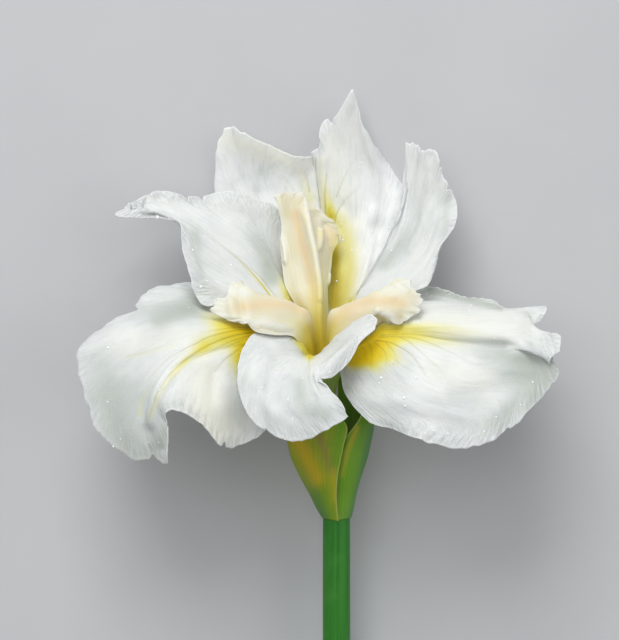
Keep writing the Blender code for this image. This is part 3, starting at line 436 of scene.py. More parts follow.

# strokes of colour, as a painter would lay them on: the photograph's pixels that a stroke runs
# through, its half width in pixels, and its strength where it starts and where it ends. Some
# strokes stand for light rather than colour: on the petals, the strokes that grey the white are
# painted shade and painted shadow, the cream strokes are partly painted light on the lit parts of
# the blades, and the broad olive strokes in the hollow beside the back style arm are painted
# shade; on the style arms, the pale strokes along the crests and ridges are partly painted highlight

PAINT = dict(
    fall_left=dict(
        veins_and_hollow_shade=(
            (0.7, 0.8, 0.1, ((249, 330), (235, 331), (210, 337), (196, 344), (184, 350), (166, 362),
                             (146, 383))),
            (0.8, 0.9, 0.35, ((250, 333), (230, 337), (210, 345), (188, 358), (170, 375), (158, 393),
                              (150, 416))),
            (0.7, 0.8, 0.1, ((250, 336), (230, 342), (218, 348), (204, 355), (192, 361))),
            (0.7, 0.8, 0.2, ((248, 339), (235, 343), (223, 349))),
            (0.8, 0.9, 0.2, ((246, 344), (233, 354), (225, 359), (219, 366), (215, 372))),
            (0.8, 0.6, 0.1, ((243, 350), (238, 358), (236, 370), (235, 381))),
            (0.7, 0.8, 0.1, ((249, 328), (230, 329), (215, 331), (200, 334))),
            (0.7, 0.7, 0.1, ((246, 324), (230, 324), (216, 322))),
            (3.0, 0.5, 0.2, ((252, 331), (243, 325), (228, 320))),
            (0.8, 0.0, 0.3, ((180, 343), (166, 346), (147, 352.5), (127, 357))),
            (0.7, 0.9, 0.9, ((110.2, 412.2), (111, 413))),
        ),
        gold=(
            (6.0, 0.9, 0.2, ((250, 332), (238, 328), (224, 322))),
            (5.0, 0.7, 0.2, ((249, 339), (240, 342))),
        ),
        yellow=(
            (9.0, 1.0, 0.25, ((250, 331), (228, 326), (206, 318))),
            (12.0, 1.0, 0.35, ((250, 337), (226, 338), (203, 345))),
            (8.0, 1.0, 0.1, ((246, 345), (236, 358), (232, 374))),
            (4.0, 0.5, 0.03, ((243, 352), (237, 372), (236, 386))),
            (6.0, 0.4, 0.1, ((205, 347), (188, 358), (172, 372))),
            (4.0, 0.1, 0.12, ((176, 346), (150, 353), (125, 358))),
            (3.2, 0.0, 0.22, ((158, 372), (149, 389), (141, 404), (141, 415))),
            (3.2, 0.28, 0.16, ((186, 361), (172, 376), (160, 394), (151, 418))),
        ),
        painted_light_and_warm_tint=(
            (22.0, 0.7, 0.8, ((205, 372), (205, 400), (215, 425))),
            (12.0, 0.4, 0.3, ((185, 335), (150, 342), (120, 345))),
        ),
        painted_shade_and_pale_crest=(
            (14.0, 0.9, 0.8, ((205, 302), (185, 312), (160, 322))),
            (28.0, 0.5, 0.6, ((95, 360), (118, 385), (145, 400))),
            (12.0, 0.5, 0.5, ((196, 296), (180, 305), (140, 312))),
            (9.0, 0.4, 0.8, ((178, 392), (168, 425), (160, 445))),
            (28.0, 0.7, 0.9, ((105, 400), (118, 430), (140, 455))),
            (7.0, 0.2, 0.6, ((232, 385), (232, 410), (245, 430))),
        ),
    ),
    fall_right=dict(
        veins_and_hollow_shade=(
            (0.9, 0.7, 0.15, ((380, 336), (408.5, 334.6), (424, 335.8), (441, 338.6), (458, 342.6),
                              (479, 343.7))),
            (0.7, 0.8, 0.1, ((379, 338), (396, 337.5), (413, 338.6), (431, 344.3), (443.6, 350), (459, 357),
                             (472, 363.5))),
            (0.7, 0.8, 0.3, ((376, 341), (390, 343), (402, 349), (411, 355), (417.6, 363), (423, 370.4),
                             (425.5, 376))),
            (0.7, 0.5, 0.1, ((400, 338), (408.5, 342), (419, 351), (429, 360), (439, 369), (447, 378))),
            (0.65, 0.7, 0.15, ((368, 343), (372, 350), (371.6, 359), (371.6, 368))),
            (0.65, 0.65, 0.15, ((374, 342), (384.7, 352), (387, 361), (385, 370))),
            (0.7, 0.6, 0.1, ((385, 342), (395, 354), (397, 365))),
            (0.7, 0.5, 0.1, ((388, 330), (413, 329.5), (436, 327.8), (458, 327.3))),
            (0.7, 0.5, 0.1, ((390, 333), (424, 331.8), (447, 334), (470, 337))),
            (0.65, 0.5, 0.2, ((362, 347), (366, 352), (366, 360))),
            (3.5, 0.25, 0.1, ((370, 333), (384, 329), (392, 331))),
        ),
        gold=(
            (10.5, 1.0, 0.7, ((354, 357), (365, 350), (378, 343))),
            (7.0, 0.8, 0.3, ((364, 358), (381, 357))),
        ),
        yellow=(
            (12.5, 1.0, 0.95, ((357, 356), (368, 348), (386, 338))),
            (9.0, 0.75, 0.12, ((384, 334), (406, 336), (440, 340), (468, 344))),
            (9.0, 0.8, 0.15, ((376, 354), (392, 358), (404, 362))),
            (7.0, 0.7, 0.1, ((366, 356), (374, 366), (386, 373))),
            (6.0, 0.4, 0.06, ((400, 328), (440, 328), (475, 333), (500, 338))),
        ),
        painted_light_and_warm_tint=(
            (16.0, 0.5, 0.3, ((430, 320), (480, 322), (520, 330))),
            (16.0, 0.4, 0.3, ((440, 370), (480, 380))),
        ),
        painted_shade_and_pale_crest=(
            (9.0, 0.1, 1.0, ((455, 352), (500, 354), (530, 364))),
            (24.0, 0.6, 1.0, ((490, 366), (525, 374), (550, 378))),
            (18.0, 0.9, 0.6, ((532, 398), (505, 418), (480, 430))),
            (13.0, 0.4, 0.6, ((350, 385), (365, 410), (400, 430))),
            (14.0, 0.5, 0.4, ((380, 385), (420, 400), (470, 405))),
            (6.0, 1.0, 1.0, ((430, 290), (450, 295), (470, 301), (500, 308))),
            (4.0, 0.6, 0.2, ((530, 345), (538, 352))),
        ),
    ),
    fall_back=dict(
        veins_and_hollow_shade=(
            (0.8, 0.5, 0.9, ((316, 158), (316.6, 170), (318, 184.7), (320.3, 199.4), (321, 209))),
            (0.7, 0.4, 0.7, ((326, 174), (325.4, 195), (326.5, 214))),
            (0.7, 0.1, 0.5, ((351, 164), (342.3, 181.8), (336.4, 196.5))),
            (0.7, 0.2, 0.7, ((358.4, 187.7), (343.7, 202.3), (336.4, 214), (335, 223))),
            (0.7, 0.3, 0.6, ((304, 171.5), (307.8, 183.3), (309.5, 192))),
            (0.7, 0.1, 0.3, ((282, 174.5), (291, 186), (297, 196))),
            # these two olive strokes darken the hollow beside the back style arm: painted shade
            (5.5, 0.5, 0.85, ((332, 244), (334, 262), (334, 282))),
            (9.0, 0.35, 0.6, ((338, 282), (338, 310))),
            (1.2, 0.4, 0.3, ((329, 209), (331, 216), (341, 227))),
            (8.0, 0.14, 0.3, ((350, 222), (352, 262), (346, 300))),
        ),
        gold=((9.0, 0.1, 0.3, ((342, 262), (340, 300))),),
        yellow=(
            (5.0, 0.12, 0.32, ((321.5, 158), (323, 180), (325.5, 202), (330, 216))),
            (12.0, 0.4, 0.5, ((338, 222), (345, 240), (347, 270), (342, 305))),
            (6.0, 0.9, 1.0, ((332, 238), (334, 262), (334, 305))),
            (5.0, 0.1, 0.45, ((328, 190), (331, 215))),
            (7.0, 0.12, 0.3, ((300, 172), (310, 200))),
        ),
        painted_light_and_warm_tint=(
            (14.0, 0.6, 0.8, ((350, 228), (352, 262), (345, 290))),
            (16.0, 0.4, 0.6, ((335, 150), (340, 200))),
            (10.0, 0.6, 0.6, ((195, 125), (230, 140), (290, 160))),
        ),
        painted_shade_and_pale_crest=(
            (14.0, 0.2, 0.3, ((225, 165), (250, 178), (285, 195))),
            (10.0, 0.3, 0.4, ((375, 190), (385, 215))),
        ),
    ),
    standard_left=dict(
        veins_and_hollow_shade=(
            (0.7, 0.2, 0.8, ((214, 239), (222, 246), (238, 259.5), (251, 272.7), (263, 286), (271, 297))),
            (0.7, 0.1, 0.7, ((226, 248), (240, 260), (258.7, 276), (267.5, 287.4), (277, 299))),
            (5.0, 0.0, 0.6, ((284, 288), (294, 304))),
        ),
        gold=((5.0, 0.0, 0.4, ((280, 288), (294, 306))),),
        yellow=(
            (1.6, 0.1, 0.7, ((238, 262), (254, 277), (267, 292), (272, 300))),
            (9.0, 0.1, 1.0, ((280, 272), (288, 290), (296, 308))),
        ),
        painted_light_and_warm_tint=(),
        painted_shade_and_pale_crest=(
            (15.0, 0.6, 0.95, ((256, 240), (264, 258), (270, 278))),
            (10.0, 0.7, 0.5, ((195, 235), (200, 280))),
        ),
    ),
    standard_right=dict(
        veins_and_hollow_shade=(
            (0.8, 0.1, 0.7, ((376, 253.7), (365.7, 275.7), (358, 294))),
            (0.7, 0.1, 0.5, ((372, 268), (361, 288), (355, 300))),
        ),
        gold=((5.0, 0.0, 0.4, ((352, 290), (347, 304))),),
        yellow=((6.0, 0.1, 0.8, ((356, 280), (348, 304))),),
        painted_light_and_warm_tint=(),
        painted_shade_and_pale_crest=(
            (12.0, 0.4, 0.8, ((420, 190), (412, 230), (385, 265))),
            (7.0, 0.7, 0.6, ((450, 175), (445, 235))),
        ),
    ),
    standard_front=dict(
        veins_and_hollow_shade=((0.6, 0.35, 0.1, ((309.7, 356), (309.7, 385), (312, 396), (323, 412))),),
        gold=((3.0, 0.25, 0.1, ((305, 349), (310, 355), (316, 352))),),
        yellow=((1.6, 0.2, 0.0, ((309, 356), (309.5, 380))), (6.0, 0.5, 0.8, ((296, 338), (310, 355)))),
        painted_light_and_warm_tint=(),
        painted_shade_and_pale_crest=(
            (14.0, 0.4, 0.6, ((258, 385), (266, 412), (290, 428))),
            (8.0, 0.4, 0.6, ((330, 362), (352, 340))),
            (13.0, 0.7, 0.8, ((300, 385), (302, 402), (325, 415))),
        ),
    ),
    style_arm_left=dict(
        gold=(
            (9.0, 1.0, 0.7, ((316, 357), (313, 342), (308, 330))),
            (6.0, 0.9, 0.3, ((306, 350), (300, 340))),
        ),
        yellow=((10.0, 1.0, 0.3, ((310, 352), (305, 337), (298, 326))),),
        painted_light_and_warm_tint=((5.0, 0.9, 0.7, ((303, 314), (290, 307), (268, 305), (240, 308))),),
        painted_shade_and_pale_crest=(
            (7.0, 0.8, 0.8, ((248, 320), (270, 325), (296, 334))),
            (9.0, 1.0, 0.9, ((222, 300), (228, 290), (245, 292))),
            (5.0, 0.8, 0.7, ((212, 306), (222, 316), (240, 322))),
        ),
    ),
    style_arm_right=dict(
        gold=((9.0, 1.0, 0.5, ((320, 357), (325, 342), (330, 328))),),
        yellow=((10.0, 1.0, 0.2, ((322, 350), (330, 335), (340, 322))),),
        painted_light_and_warm_tint=(
            (6.0, 0.8, 0.9, ((335, 322), (352, 308), (375, 302), (400, 303))),
            (9.0, 0.5, 0.4, ((345, 318), (360, 314))),
        ),
        painted_shade_and_pale_crest=(
            (8.0, 0.4, 1.0, ((378, 296), (394, 288), (412, 284))),
            (6.0, 0.9, 0.9, ((421, 293), (421, 306), (410, 320))),
            (4.0, 0.9, 0.8, ((378, 312), (390, 316), (394, 325))),
        ),
    ),
    style_arm_back=dict(
        gold=(
            (14.0, 0.1, 1.0, ((320, 295), (320, 318), (320, 352))),
            (5.0, 0.2, 0.7, ((296, 296), (304, 314))),
        ),
        yellow=(
            (13.0, 0.1, 1.0, ((323, 270), (320, 322), (320, 352))),
            (5.0, 0.3, 0.6, ((337, 236), (334, 256))),
        ),
        painted_light_and_warm_tint=(
            (5.0, 0.9, 0.8, ((296, 215), (303, 245), (312, 275), (316, 305))),
            (6.0, 0.7, 0.5, ((328, 232), (334, 250))),
        ),
        painted_shade_and_pale_crest=(
            (4.0, 0.9, 0.8, ((275, 196), (278, 212), (281, 238))),
            (4.0, 0.9, 0.6, ((284, 244), (286, 262))),
            (1.4, 0.7, 0.7, ((304.8, 199.7), (309.5, 228.6), (315.3, 255.3), (319.3, 284.2))),
            (5.0, 0.8, 0.5, ((290, 192), (308, 194))),
        ),
    ),
    spathe_left=dict(
        orange=(
            (8.0, 1.0, 0.8, ((296, 436), (304, 450), (318, 478))),
            (3.0, 0.5, 0.3, ((333, 470), (334, 500))),
        ),
        brown=((4.0, 0.8, 0.4, ((318, 432), (325, 452), (331, 470))),),
        green=(
            (8.0, 0.9, 0.7, ((341, 420), (339, 440), (336, 466))),
            (10.0, 0.3, 0.8, ((312, 470), (320, 490), (326, 518))),
        ),
        blue=((7.0, 0.2, 0.8, ((306, 470), (322, 515))),),
    ),
    spathe_right=dict(
        orange=((2.5, 0.7, 0.3, ((357, 428), (348, 450), (342, 475))),),
        brown=(),
        green=((7.0, 0.3, 0.5, ((346, 470), (345, 500))),),
        blue=((6.0, 0.9, 0.9, ((371, 430), (364, 465), (352, 517))),),
    ),
)

# strokes that raise or sink a blade, in millimetres, laid on as its colours are

RELIEF = dict(
    fall_left=(
        (6.0, -0.2, -0.7, ((190, 356), (170, 376), (157, 395), (150, 422))),
        (5.0, 0.2, 0.6, ((176, 380), (166, 398), (160, 425), (163, 448))),
        (7.0, 0.5, 0.3, ((215, 372), (212, 400), (222, 430))),
        (5.0, 0.4, 0.2, ((150, 300), (190, 308), (215, 318))),
    ),
    fall_right=(
        (4.0, -0.2, -0.8, ((420, 337), (445, 340), (478, 344), (504, 345))),
        (1.2, 0.4, 0.2, ((548, 337), (553, 349), (555, 359))),
        (1.0, -0.4, -0.2, ((551, 336), (557, 347), (558, 356))),
        (1.6, 0.4, 0.4, ((543, 338), (547, 352), (551, 360))),
        (2.0, -0.5, -0.4, ((541, 318), (538, 323))),
        (6.0, 0.5, 0.3, ((470, 360), (500, 368), (530, 372))),
        (8.0, 0.5, 0.4, ((395, 400), (430, 412), (470, 418))),
    ),
    fall_back=(
        (3.0, -0.4, -0.7, ((316, 160), (318, 185), (321, 212))),
        (4.0, 0.3, 0.5, ((323, 160), (325, 190), (330, 214))),
        (8.0, 0.8, 0.6, ((375, 215), (365, 228), (372, 240))),
        (5.0, -0.5, -0.4, ((345, 205), (355, 220))),
    ),
    standard_left=(
        (2.4, -0.3, -0.4, ((205, 230), (222, 245), (240, 261), (263, 286), (272, 298))),
        (5.0, 0.5, 0.4, ((228, 225), (245, 242), (262, 262))),
        (8.0, -0.2, -0.2, ((162, 203), (182, 209), (200, 224))),
        (1.4, 0.6, 0.4, ((137, 203), (141, 209), (146, 213))),
        (1.4, -0.7, -0.4, ((145, 200), (143, 206), (148, 210), (153, 214))),
        (1.1, 0.6, 0.4, ((129, 204), (128.5, 212))),
        (1.0, -0.5, -0.4, ((131.6, 205), (131.6, 212))),
        (1.1, 0.6, 0.4, ((134.4, 202), (135, 210))),
        (3.0, 0.6, 0.4, ((152, 196), (160, 193), (170, 197))),
    ),
    standard_right=(
        (9.0, -0.2, -0.2, ((410, 160), (408, 200), (385, 240), (365, 278))),
        (4.0, 0.4, 0.4, ((430, 165), (430, 210), (410, 250))),
    ),
    standard_front=(
        (3.0, -0.5, -0.3, ((309.7, 358), (309.7, 385), (314, 400))),
        (8.0, 0.6, 0.5, ((275, 365), (272, 395), (290, 415))),
    ),
    style_arm_left=(
        (4.0, 0.5, 0.5, ((240, 290), (240, 302), (243, 315))),
        (4.0, -0.5, -0.5, ((229, 292), (231, 306), (234, 317))),
        (3.0, 0.4, 0.2, ((262, 328), (280, 332), (292, 332))),
    ),
    style_arm_right=(
        (3.0, 0.5, 0.5, ((378, 311), (388, 315), (394, 325))),
        (5.0, -0.4, -0.3, ((398, 300), (404, 308), (402, 318))),
        (3.0, 0.4, 0.3, ((395, 285), (406, 292))),
    ),
    style_arm_back=(
        (1.6, 0.35, 0.3, ((304.8, 199.7), (309.5, 228.6), (315.3, 255.3), (319.3, 284.2), (320, 300))),
        (2.4, 0.8, 0.8, ((283, 240), (286, 252), (286, 262))),
        (1.6, 1.0, 0.6, ((319.3, 231), (318.7, 241), (317.4, 249))),
        (2.0, 0.7, 0.5, ((330, 276), (328, 283))),
        (4.0, -0.6, -0.4, ((325, 225), (330, 240))),
    ),
)


def seen(points):
    """Moves points from the plane through the heart along their lines of sight to their depth."""
    points = np.array(points, float)
    scale = 1.0 - points[..., 2:] / EYE_DISTANCE
    eye = np.array((EYE_RIGHT, EYE_UP))
    points[..., :2] = eye + (points[..., :2] - eye) * scale
    return points


def spline(values, places):
    """Reads the smooth curve through evenly spread values at places that run from 0 to 1."""
    values = np.asarray(values, float)
    places = np.asarray(places, float)
    last = len(values) - 1
    slopes = np.gradient(values, axis=0)
    position = np.clip(places, 0.0, 1.0) * last
    start = np.minimum(position.astype(int), last - 1)
    part = (position - start).reshape(position.shape + (1,) * (values.ndim - 1))
    return blended(part, values[start], slopes[start], values[start + 1], slopes[start + 1])


def blended(part, value, slope, next_value, next_slope):
    """The smooth step from one value to the next, with the slopes at both."""
    square, cube = part**2, part**3
    return (
        (2 * cube - 3 * square + 1) * value
        + (cube - 2 * square + part) * slope
        + (3 * square - 2 * cube) * next_value
        + (cube - square) * next_slope
    )


def down_columns(curves, places):
    """Reads each column's smooth curve at that column's own places."""
    last = len(curves) - 1
    slopes = np.gradient(curves, axis=0)
    position = np.clip(places, 0.0, 1.0) * last
    start = np.minimum(position.astype(int), last - 1)
    part = (position - start)[..., None]
    column = np.arange(curves.shape[1])[None, :]
    return blended(
        part, curves[start, column], slopes[start, column],
        curves[start + 1, column], slopes[start + 1, column],
    )


def facing(grid):
    """Returns the unit normals of a grid of points."""
    side = np.gradient(grid, axis=1)
    length = np.gradient(grid, axis=0)
    normals = np.cross(side, length)
    return normals / np.maximum(np.linalg.norm(normals, axis=2, keepdims=True), 1e-9)


def soft_noise(seed, size, cells):
    """Smooth noise from -1 to 1 over a grid, with cells of even size."""
    across, along = size
    random = np.random.RandomState(seed)
    heights = random.uniform(-1.0, 1.0, (cells[1] + 1, cells[0] + 1))
    rows = spline(heights, np.linspace(0.0, 1.0, along))
    return spline(rows.T, np.linspace(0.0, 1.0, across)).T


def smooth_step(low, high, value):
    """Runs smoothly from 0 at low to 1 at high."""
    part = np.clip((value - low) / (high - low), 0.0, 1.0)
    return part * part * (3.0 - 2.0 * part)


def round_the_tube(radius, azimuth, height):
    """A point beside the leaning tube: azimuth 0 is right, 90 is the back and 270 the front."""
    angle = math.radians(azimuth)
    right = radius * math.cos(angle)
    return (
        TUBE_FOOT[0] + right * math.cos(TUBE_LEAN) - height * math.sin(TUBE_LEAN),
        TUBE_FOOT[1] + right * math.sin(TUBE_LEAN) + height * math.cos(TUBE_LEAN),
        TUBE_FOOT[2] - radius * math.sin(angle),
    )


def foot(radius, azimuths):
    """The row of points where a petal or a style arm stands on the rim of the tube."""
    return [
        round_the_tube(radius, azimuth, ROOT_HEIGHT)
        for azimuth in np.linspace(azimuths[0], azimuths[1], ROOT_POINTS)
    ]


def flower_place():
    """Where the flower's own frame stands, from the place of the CAD stem."""
    low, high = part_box("stem")
    right = (low.x + high.x) / 2 - STEM_RIGHT * MM
    up = high.y - (STEM_TOP * math.cos(LEAN_BACK) + STEM_RADIUS * math.sin(LEAN_BACK)) * MM
    return Matrix.Translation((right, up, HEART_HEIGHT * MM)) @ Matrix.Rotation(LEAN_BACK, 4, "X")


FLOWER = flower_place()


def in_scene(points):
    """Turns points of the flower's frame into metres of the scene, on or above the floor."""
    turn = np.array(FLOWER.to_3x3())
    places = points.reshape(-1, 3) * MM @ turn.T + np.array(FLOWER.translation)
    places[:, 2] = np.maximum(places[:, 2], FLOOR_CLEARANCE * MM)
    return places


def steps_between(points, axis):
    """How far each point of a grid is from the next one."""
    return np.linalg.norm(np.diff(points, axis=axis), axis=2)


def in_photograph(points):
    """Where points of the flower's frame show in the photograph, in its pixels."""
    scale = 1.0 - points[..., 2] / EYE_DISTANCE
    right = EYE_RIGHT + (points[..., 0] - EYE_RIGHT) / scale
    up = EYE_UP + (points[..., 1] - EYE_UP) / scale
    across = HEART_PIXEL[0] + right * PIXELS_PER_MM
    down = HEART_PIXEL[1] - up * PIXELS_PER_MM
    return np.stack((across, down), axis=-1)


def stroke(places, width, first, last, path):
    """The strength of one soft stroke at each of the places, which are the photograph's pixels."""
    path = spline(path, np.linspace(0.0, 1.0, 3 * len(path) - 2))
    lengths = np.linalg.norm(np.diff(path, axis=0), axis=1)
    run = np.concatenate(([0.0], np.cumsum(lengths))) / lengths.sum()
    nearest = np.full(places.shape[:2], 1e9)
    strength = np.zeros(places.shape[:2])
    for start, end, begun, done in zip(path, path[1:], run, run[1:]):
        line = end - start
        part = np.clip(((places - start) @ line) / (line @ line), 0.0, 1.0)
        distance = np.linalg.norm(places - start - part[..., None] * line, axis=-1)
        closer = distance < nearest
        nearest = np.where(closer, distance, nearest)
        strength = np.where(closer, first + (last - first) * (begun + (done - begun) * part), strength)
    return strength * np.exp(-((nearest / width) ** 2))


def brushed(points, strokes):
    """How strongly strokes of colour cover each point of a grid."""
    places = in_photograph(points)
    bare = np.ones(places.shape[:2])
    for details in strokes:
        bare = bare * (1.0 - stroke(places, *details))
    return 1.0 - bare


def relief(name, points):
    """How far strokes raise or sink each point of a blade."""
    places = in_photograph(points)
    return sum(stroke(places, *details) for details in RELIEF.get(name, ()))


def painted(name, points):
    """All the colours that a blade is painted with."""
    return {colour: brushed(points, strokes) for colour, strokes in PAINT[name].items()}


def edge_distance(points):
    """How far each point of a blade is from its nearest edge, the root apart, in millimetres."""
    outward = np.pad(np.cumsum(steps_between(points, 0), axis=0), ((1, 0), (0, 0)))
    sideways = np.pad(np.cumsum(steps_between(points, 1), axis=1), ((0, 0), (1, 0)))
    to_tip = outward[-1:] - outward
    to_side = np.minimum(sideways, sideways[:, -1:] - sideways)
    return np.minimum(to_tip, to_side)


def sheet_piece(name, points, values=None):
    """Adds a grid primitive, moves its points to their places and keeps values for its material."""
    along, across = points.shape[:2]
    bpy.ops.object.select_all(action="DESELECT")
    bpy.ops.mesh.primitive_grid_add(x_subdivisions=across - 1, y_subdivisions=along - 1, size=1.0)
    piece = bpy.context.object
    piece.name = name + "_skin"
    mesh = piece.data
    mesh.vertices.foreach_set("co", in_scene(points).ravel())
    mesh.uv_layers[0].name = "BladeUV"
    for title, field in (values or {}).items():
        attribute = mesh.attributes.new(title, "FLOAT", "POINT")
        attribute.data.foreach_set("value", np.asarray(field, float).ravel())
    mesh.update()
    return piece


def give_wall(piece, wall, edge):
    """Gives a blade its wall, thinner towards its edge."""
    thick, thin = wall
    weights = thin / thick + (1.0 - thin / thick) * smooth_step(0.0, EDGE_WIDTH, edge.ravel())
    group = piece.vertex_groups.new(name="wall")
    for index, weight in enumerate(weights):
        group.add((index,), float(weight), "REPLACE")
    solid = piece.modifiers.new("wall", "SOLIDIFY")
    solid.thickness = thick * MM
    solid.offset = 0.0
    solid.vertex_group = "wall"
    bpy.ops.object.modifier_apply(modifier="wall")
    piece.vertex_groups.clear()


def finished(piece, node, material):
    """Smooths a piece, gives it its material, and lets it stand for its CAD node."""
    bpy.ops.object.shade_smooth()
    piece.data.materials.clear()
    piece.data.materials.append(material)
    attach(piece, "root")
    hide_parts(node)
    return piece


def blade(name, points, rise, edge, wall, material, thinned=None):
    """Raises a blade's points along their normals, paints it and gives it its wall."""
    rise = rise + relief(name, points)
    points = points + facing(points) * rise[..., None]
    spread = np.linalg.norm(np.gradient(points, axis=1), axis=2) * (points.shape[1] - 1)
    piece = sheet_piece(name, points, dict(spread=spread, edge=edge, **painted(name, points)))
    give_wall(piece, wall, edge if thinned is None else thinned)
    return finished(piece, name, material)


def scalloped(detail, side):
    """How far each column of a petal reaches towards its margin, with scallops and nicks."""
    uneven = soft_noise(detail["seed"], (len(side), 2), (SCALLOP_CELLS, 1))[0]
    reach = 1.0 - detail["scallop"] * (1.0 + uneven) / 2
    for place, width, depth in detail["nicks"]:
        reach = reach - depth * np.exp(-(((side - place) / width) ** 2))
    return reach


def crimped(detail, size, side, out, edge):
    """The broken crimps along a petal's margin."""
    wander = CRIMP_WANDER * soft_noise(detail["seed"] + 2, size, (24, 4))
    crimp = np.sin(2 * math.pi * (detail["crimps"] * side + wander))
    crimp = crimp * np.clip(0.45 + 0.9 * soft_noise(detail["seed"] + 3, size, (30, 5)), 0.0, 1.2)
    return detail["crimp"] * smooth_step(*CRIMP_BAND, edge) * smooth_step(0.3, 0.8, out) * crimp


def petal(name, shape, size, material):
    """A fall or a standard, from its claw on the tube to its crimped margin."""
    detail = DETAILS[name]
    across, along = size
    side = np.linspace(0.0, 1.0, across)
    rings = [seen(shape[ring]) for ring in ("throat", "shoulder", "blade", "lip", "margin") if ring in shape]
    curves = np.array([spline(ring, side) for ring in [foot(CLAW_RADIUS, shape["azimuths"])] + rings])
    out = np.linspace(0.0, 1.0, along)[:, None] ** ROW_CROWDING
    points = down_columns(curves, out - (1.0 - scalloped(detail, side)[None, :]) * out**3)
    edge = edge_distance(points)
    side = side[None, :]
    rise = RUFFLE * out**4 * np.sin(2 * math.pi * shape["waves"] * side)
    for place, width, height in shape["folds"]:
        rise = rise + height * out * np.exp(-(((side - place) / width) ** 2))
    swaying = soft_noise(detail["seed"] + 1, size, SWAY_CELLS)
    rise = rise + detail["sway"] * smooth_step(0.2, 0.7, out) * swaying
    rise = rise + crimped(detail, size, side, out, edge)
    return blade(name, points, rise, edge, PETAL_WALL, material)


def style_arm(name, shape, seed, material):
    """A petal-like style arm, a folded strap with a ragged crest at its end."""
    across, along = STYLE_GRID
    side = np.linspace(0.0, 1.0, across)
    rows = [foot(STYLE_ROOT_RADIUS, shape["azimuths"])] + [seen(row) for row in shape["rows"]]
    curves = np.array([spline(row, side) for row in rows])
    coarse, fine = (soft_noise(seed + turn, (across, 2), (CREST_CELLS[turn], 1))[0] for turn in (0, 1))
    ragged = coarse + FINE_SHARE * fine
    reach = 1.0 - CREST_DEPTH * (1.0 + ragged / (1.0 + FINE_SHARE)) / 2
    out = np.linspace(0.0, 1.0, along)[:, None]
    points = down_columns(curves, out * reach[None, :])
    edge = edge_distance(points)
    rise = HOLLOW_HEIGHT * soft_noise(seed + 2, STYLE_GRID, (7, 8)) * smooth_step(0.2, 0.5, out)
    frills = soft_noise(seed + 3, STYLE_GRID, (30, 6))
    rise = rise + FRILL_HEIGHT * smooth_step(*FRILL_BAND, edge) * smooth_step(0.7, 0.95, out) * frills
    return blade(name, points, rise, edge, STYLE_WALL, material)


def spathe(name, rows, seed, material):
    """A bract that wraps the foot of the flower, ribbed along its length."""
    across, along = SPATHE_GRID
    side = np.linspace(0.0, 1.0, across)
    curves = np.array([spline(seen(row), side) for row in rows])
    out = np.linspace(0.0, 1.0, along)[:, None]
    points = down_columns(curves, out * np.ones(across)[None, :])
    edge = edge_distance(points)
    rise = SPATHE_HOLLOW * soft_noise(seed, SPATHE_GRID, (5, 6)) * smooth_step(0.15, 0.4, out)
    ribs, height = SPATHE_RIBS
    rise = rise + height * np.sin(2 * math.pi * ribs * side[None, :]) * smooth_step(0.05, 0.2, out)
    from_foot = out * SPATHE_LENGTH * np.ones(across)[None, :]
    thinned = np.minimum(edge, from_foot)
    return blade(name, points, rise, edge, SPATHE_WALL, material, thinned)


def round_piece(name, path, radii, sides, material, squash=1.0, ribs=(0, 0.0)):
    """A closed round form along a path, with its radius at each point and its ribs."""
    path = np.asarray(path, float)
    heading = np.gradient(path, axis=0)
    heading = heading / np.linalg.norm(heading, axis=1, keepdims=True)
    sideways = np.cross(heading, (0.0, 0.0, 1.0))
    sideways = sideways / np.linalg.norm(sideways, axis=1, keepdims=True)
    outward = np.cross(sideways, heading)
    angle = np.linspace(0.0, 2 * math.pi, sides + 1)
    radii = np.asarray(radii, float)[:, None] * (1.0 + ribs[1] * np.cos(ribs[0] * angle))[None, :]
    points = (
        path[:, None, :]
        + (radii * np.cos(angle))[..., None] * sideways[:, None, :]
        + (radii * np.sin(angle) * squash)[..., None] * outward[:, None, :]
    )
    piece = sheet_piece(name, points)
    bpy.ops.object.mode_set(mode="EDIT")
    bpy.ops.mesh.select_all(action="SELECT")
    bpy.ops.mesh.remove_doubles(threshold=0.000002)
    bpy.ops.mesh.normals_make_consistent(inside=False)
    bpy.ops.object.mode_set(mode="OBJECT")
    return finished(piece, name, material)


def stem(material):
    """The cut stem, with its two flat ends."""
    rows, sides = STEM_GRID
    drop, left = STEM_EDGE
    top = STEM_TOP + STEM_HIDDEN
    straight = np.linspace(top - drop, STEM_END + drop, rows)
    heights = np.concatenate(([top, top], straight, [STEM_END, STEM_END]))[::-1]
    path = [(STEM_RIGHT, height + STEM_HAIR * index, 0.0) for index, height in enumerate(heights)]
    swell = np.interp(heights, (STEM_END, STEM_TOP), (STEM_SWELL, 1.0)) * STEM_RADIUS
    swell[0] = swell[-1] = 0.0
    swell[1] *= left
    swell[-2] *= left
    return round_piece("stem", path, swell, sides, material, ribs=STEM_RIBS)


def tube(material):
    """The ovary, the tube that the petals stand on and the foot of the styles."""
    rows, sides = TUBE_GRID
    profile = np.array(TUBE_PROFILE)
    heights = profile[:, 1]
    path = [round_the_tube(0.0, 0.0, height + TUBE_HAIR * index) for index, height in enumerate(heights)]
    path = np.array(path)
    place = np.linspace(0.0, 1.0, rows) * (len(profile) - 1)
    steps = np.arange(len(profile))
    points = np.array([np.interp(place, steps, path[:, axis]) for axis in range(3)]).T
    radii = np.interp(place, steps, profile[:, 0])
    return round_piece("perianth_tube", points, radii, sides, material, ribs=TUBE_RIBS)


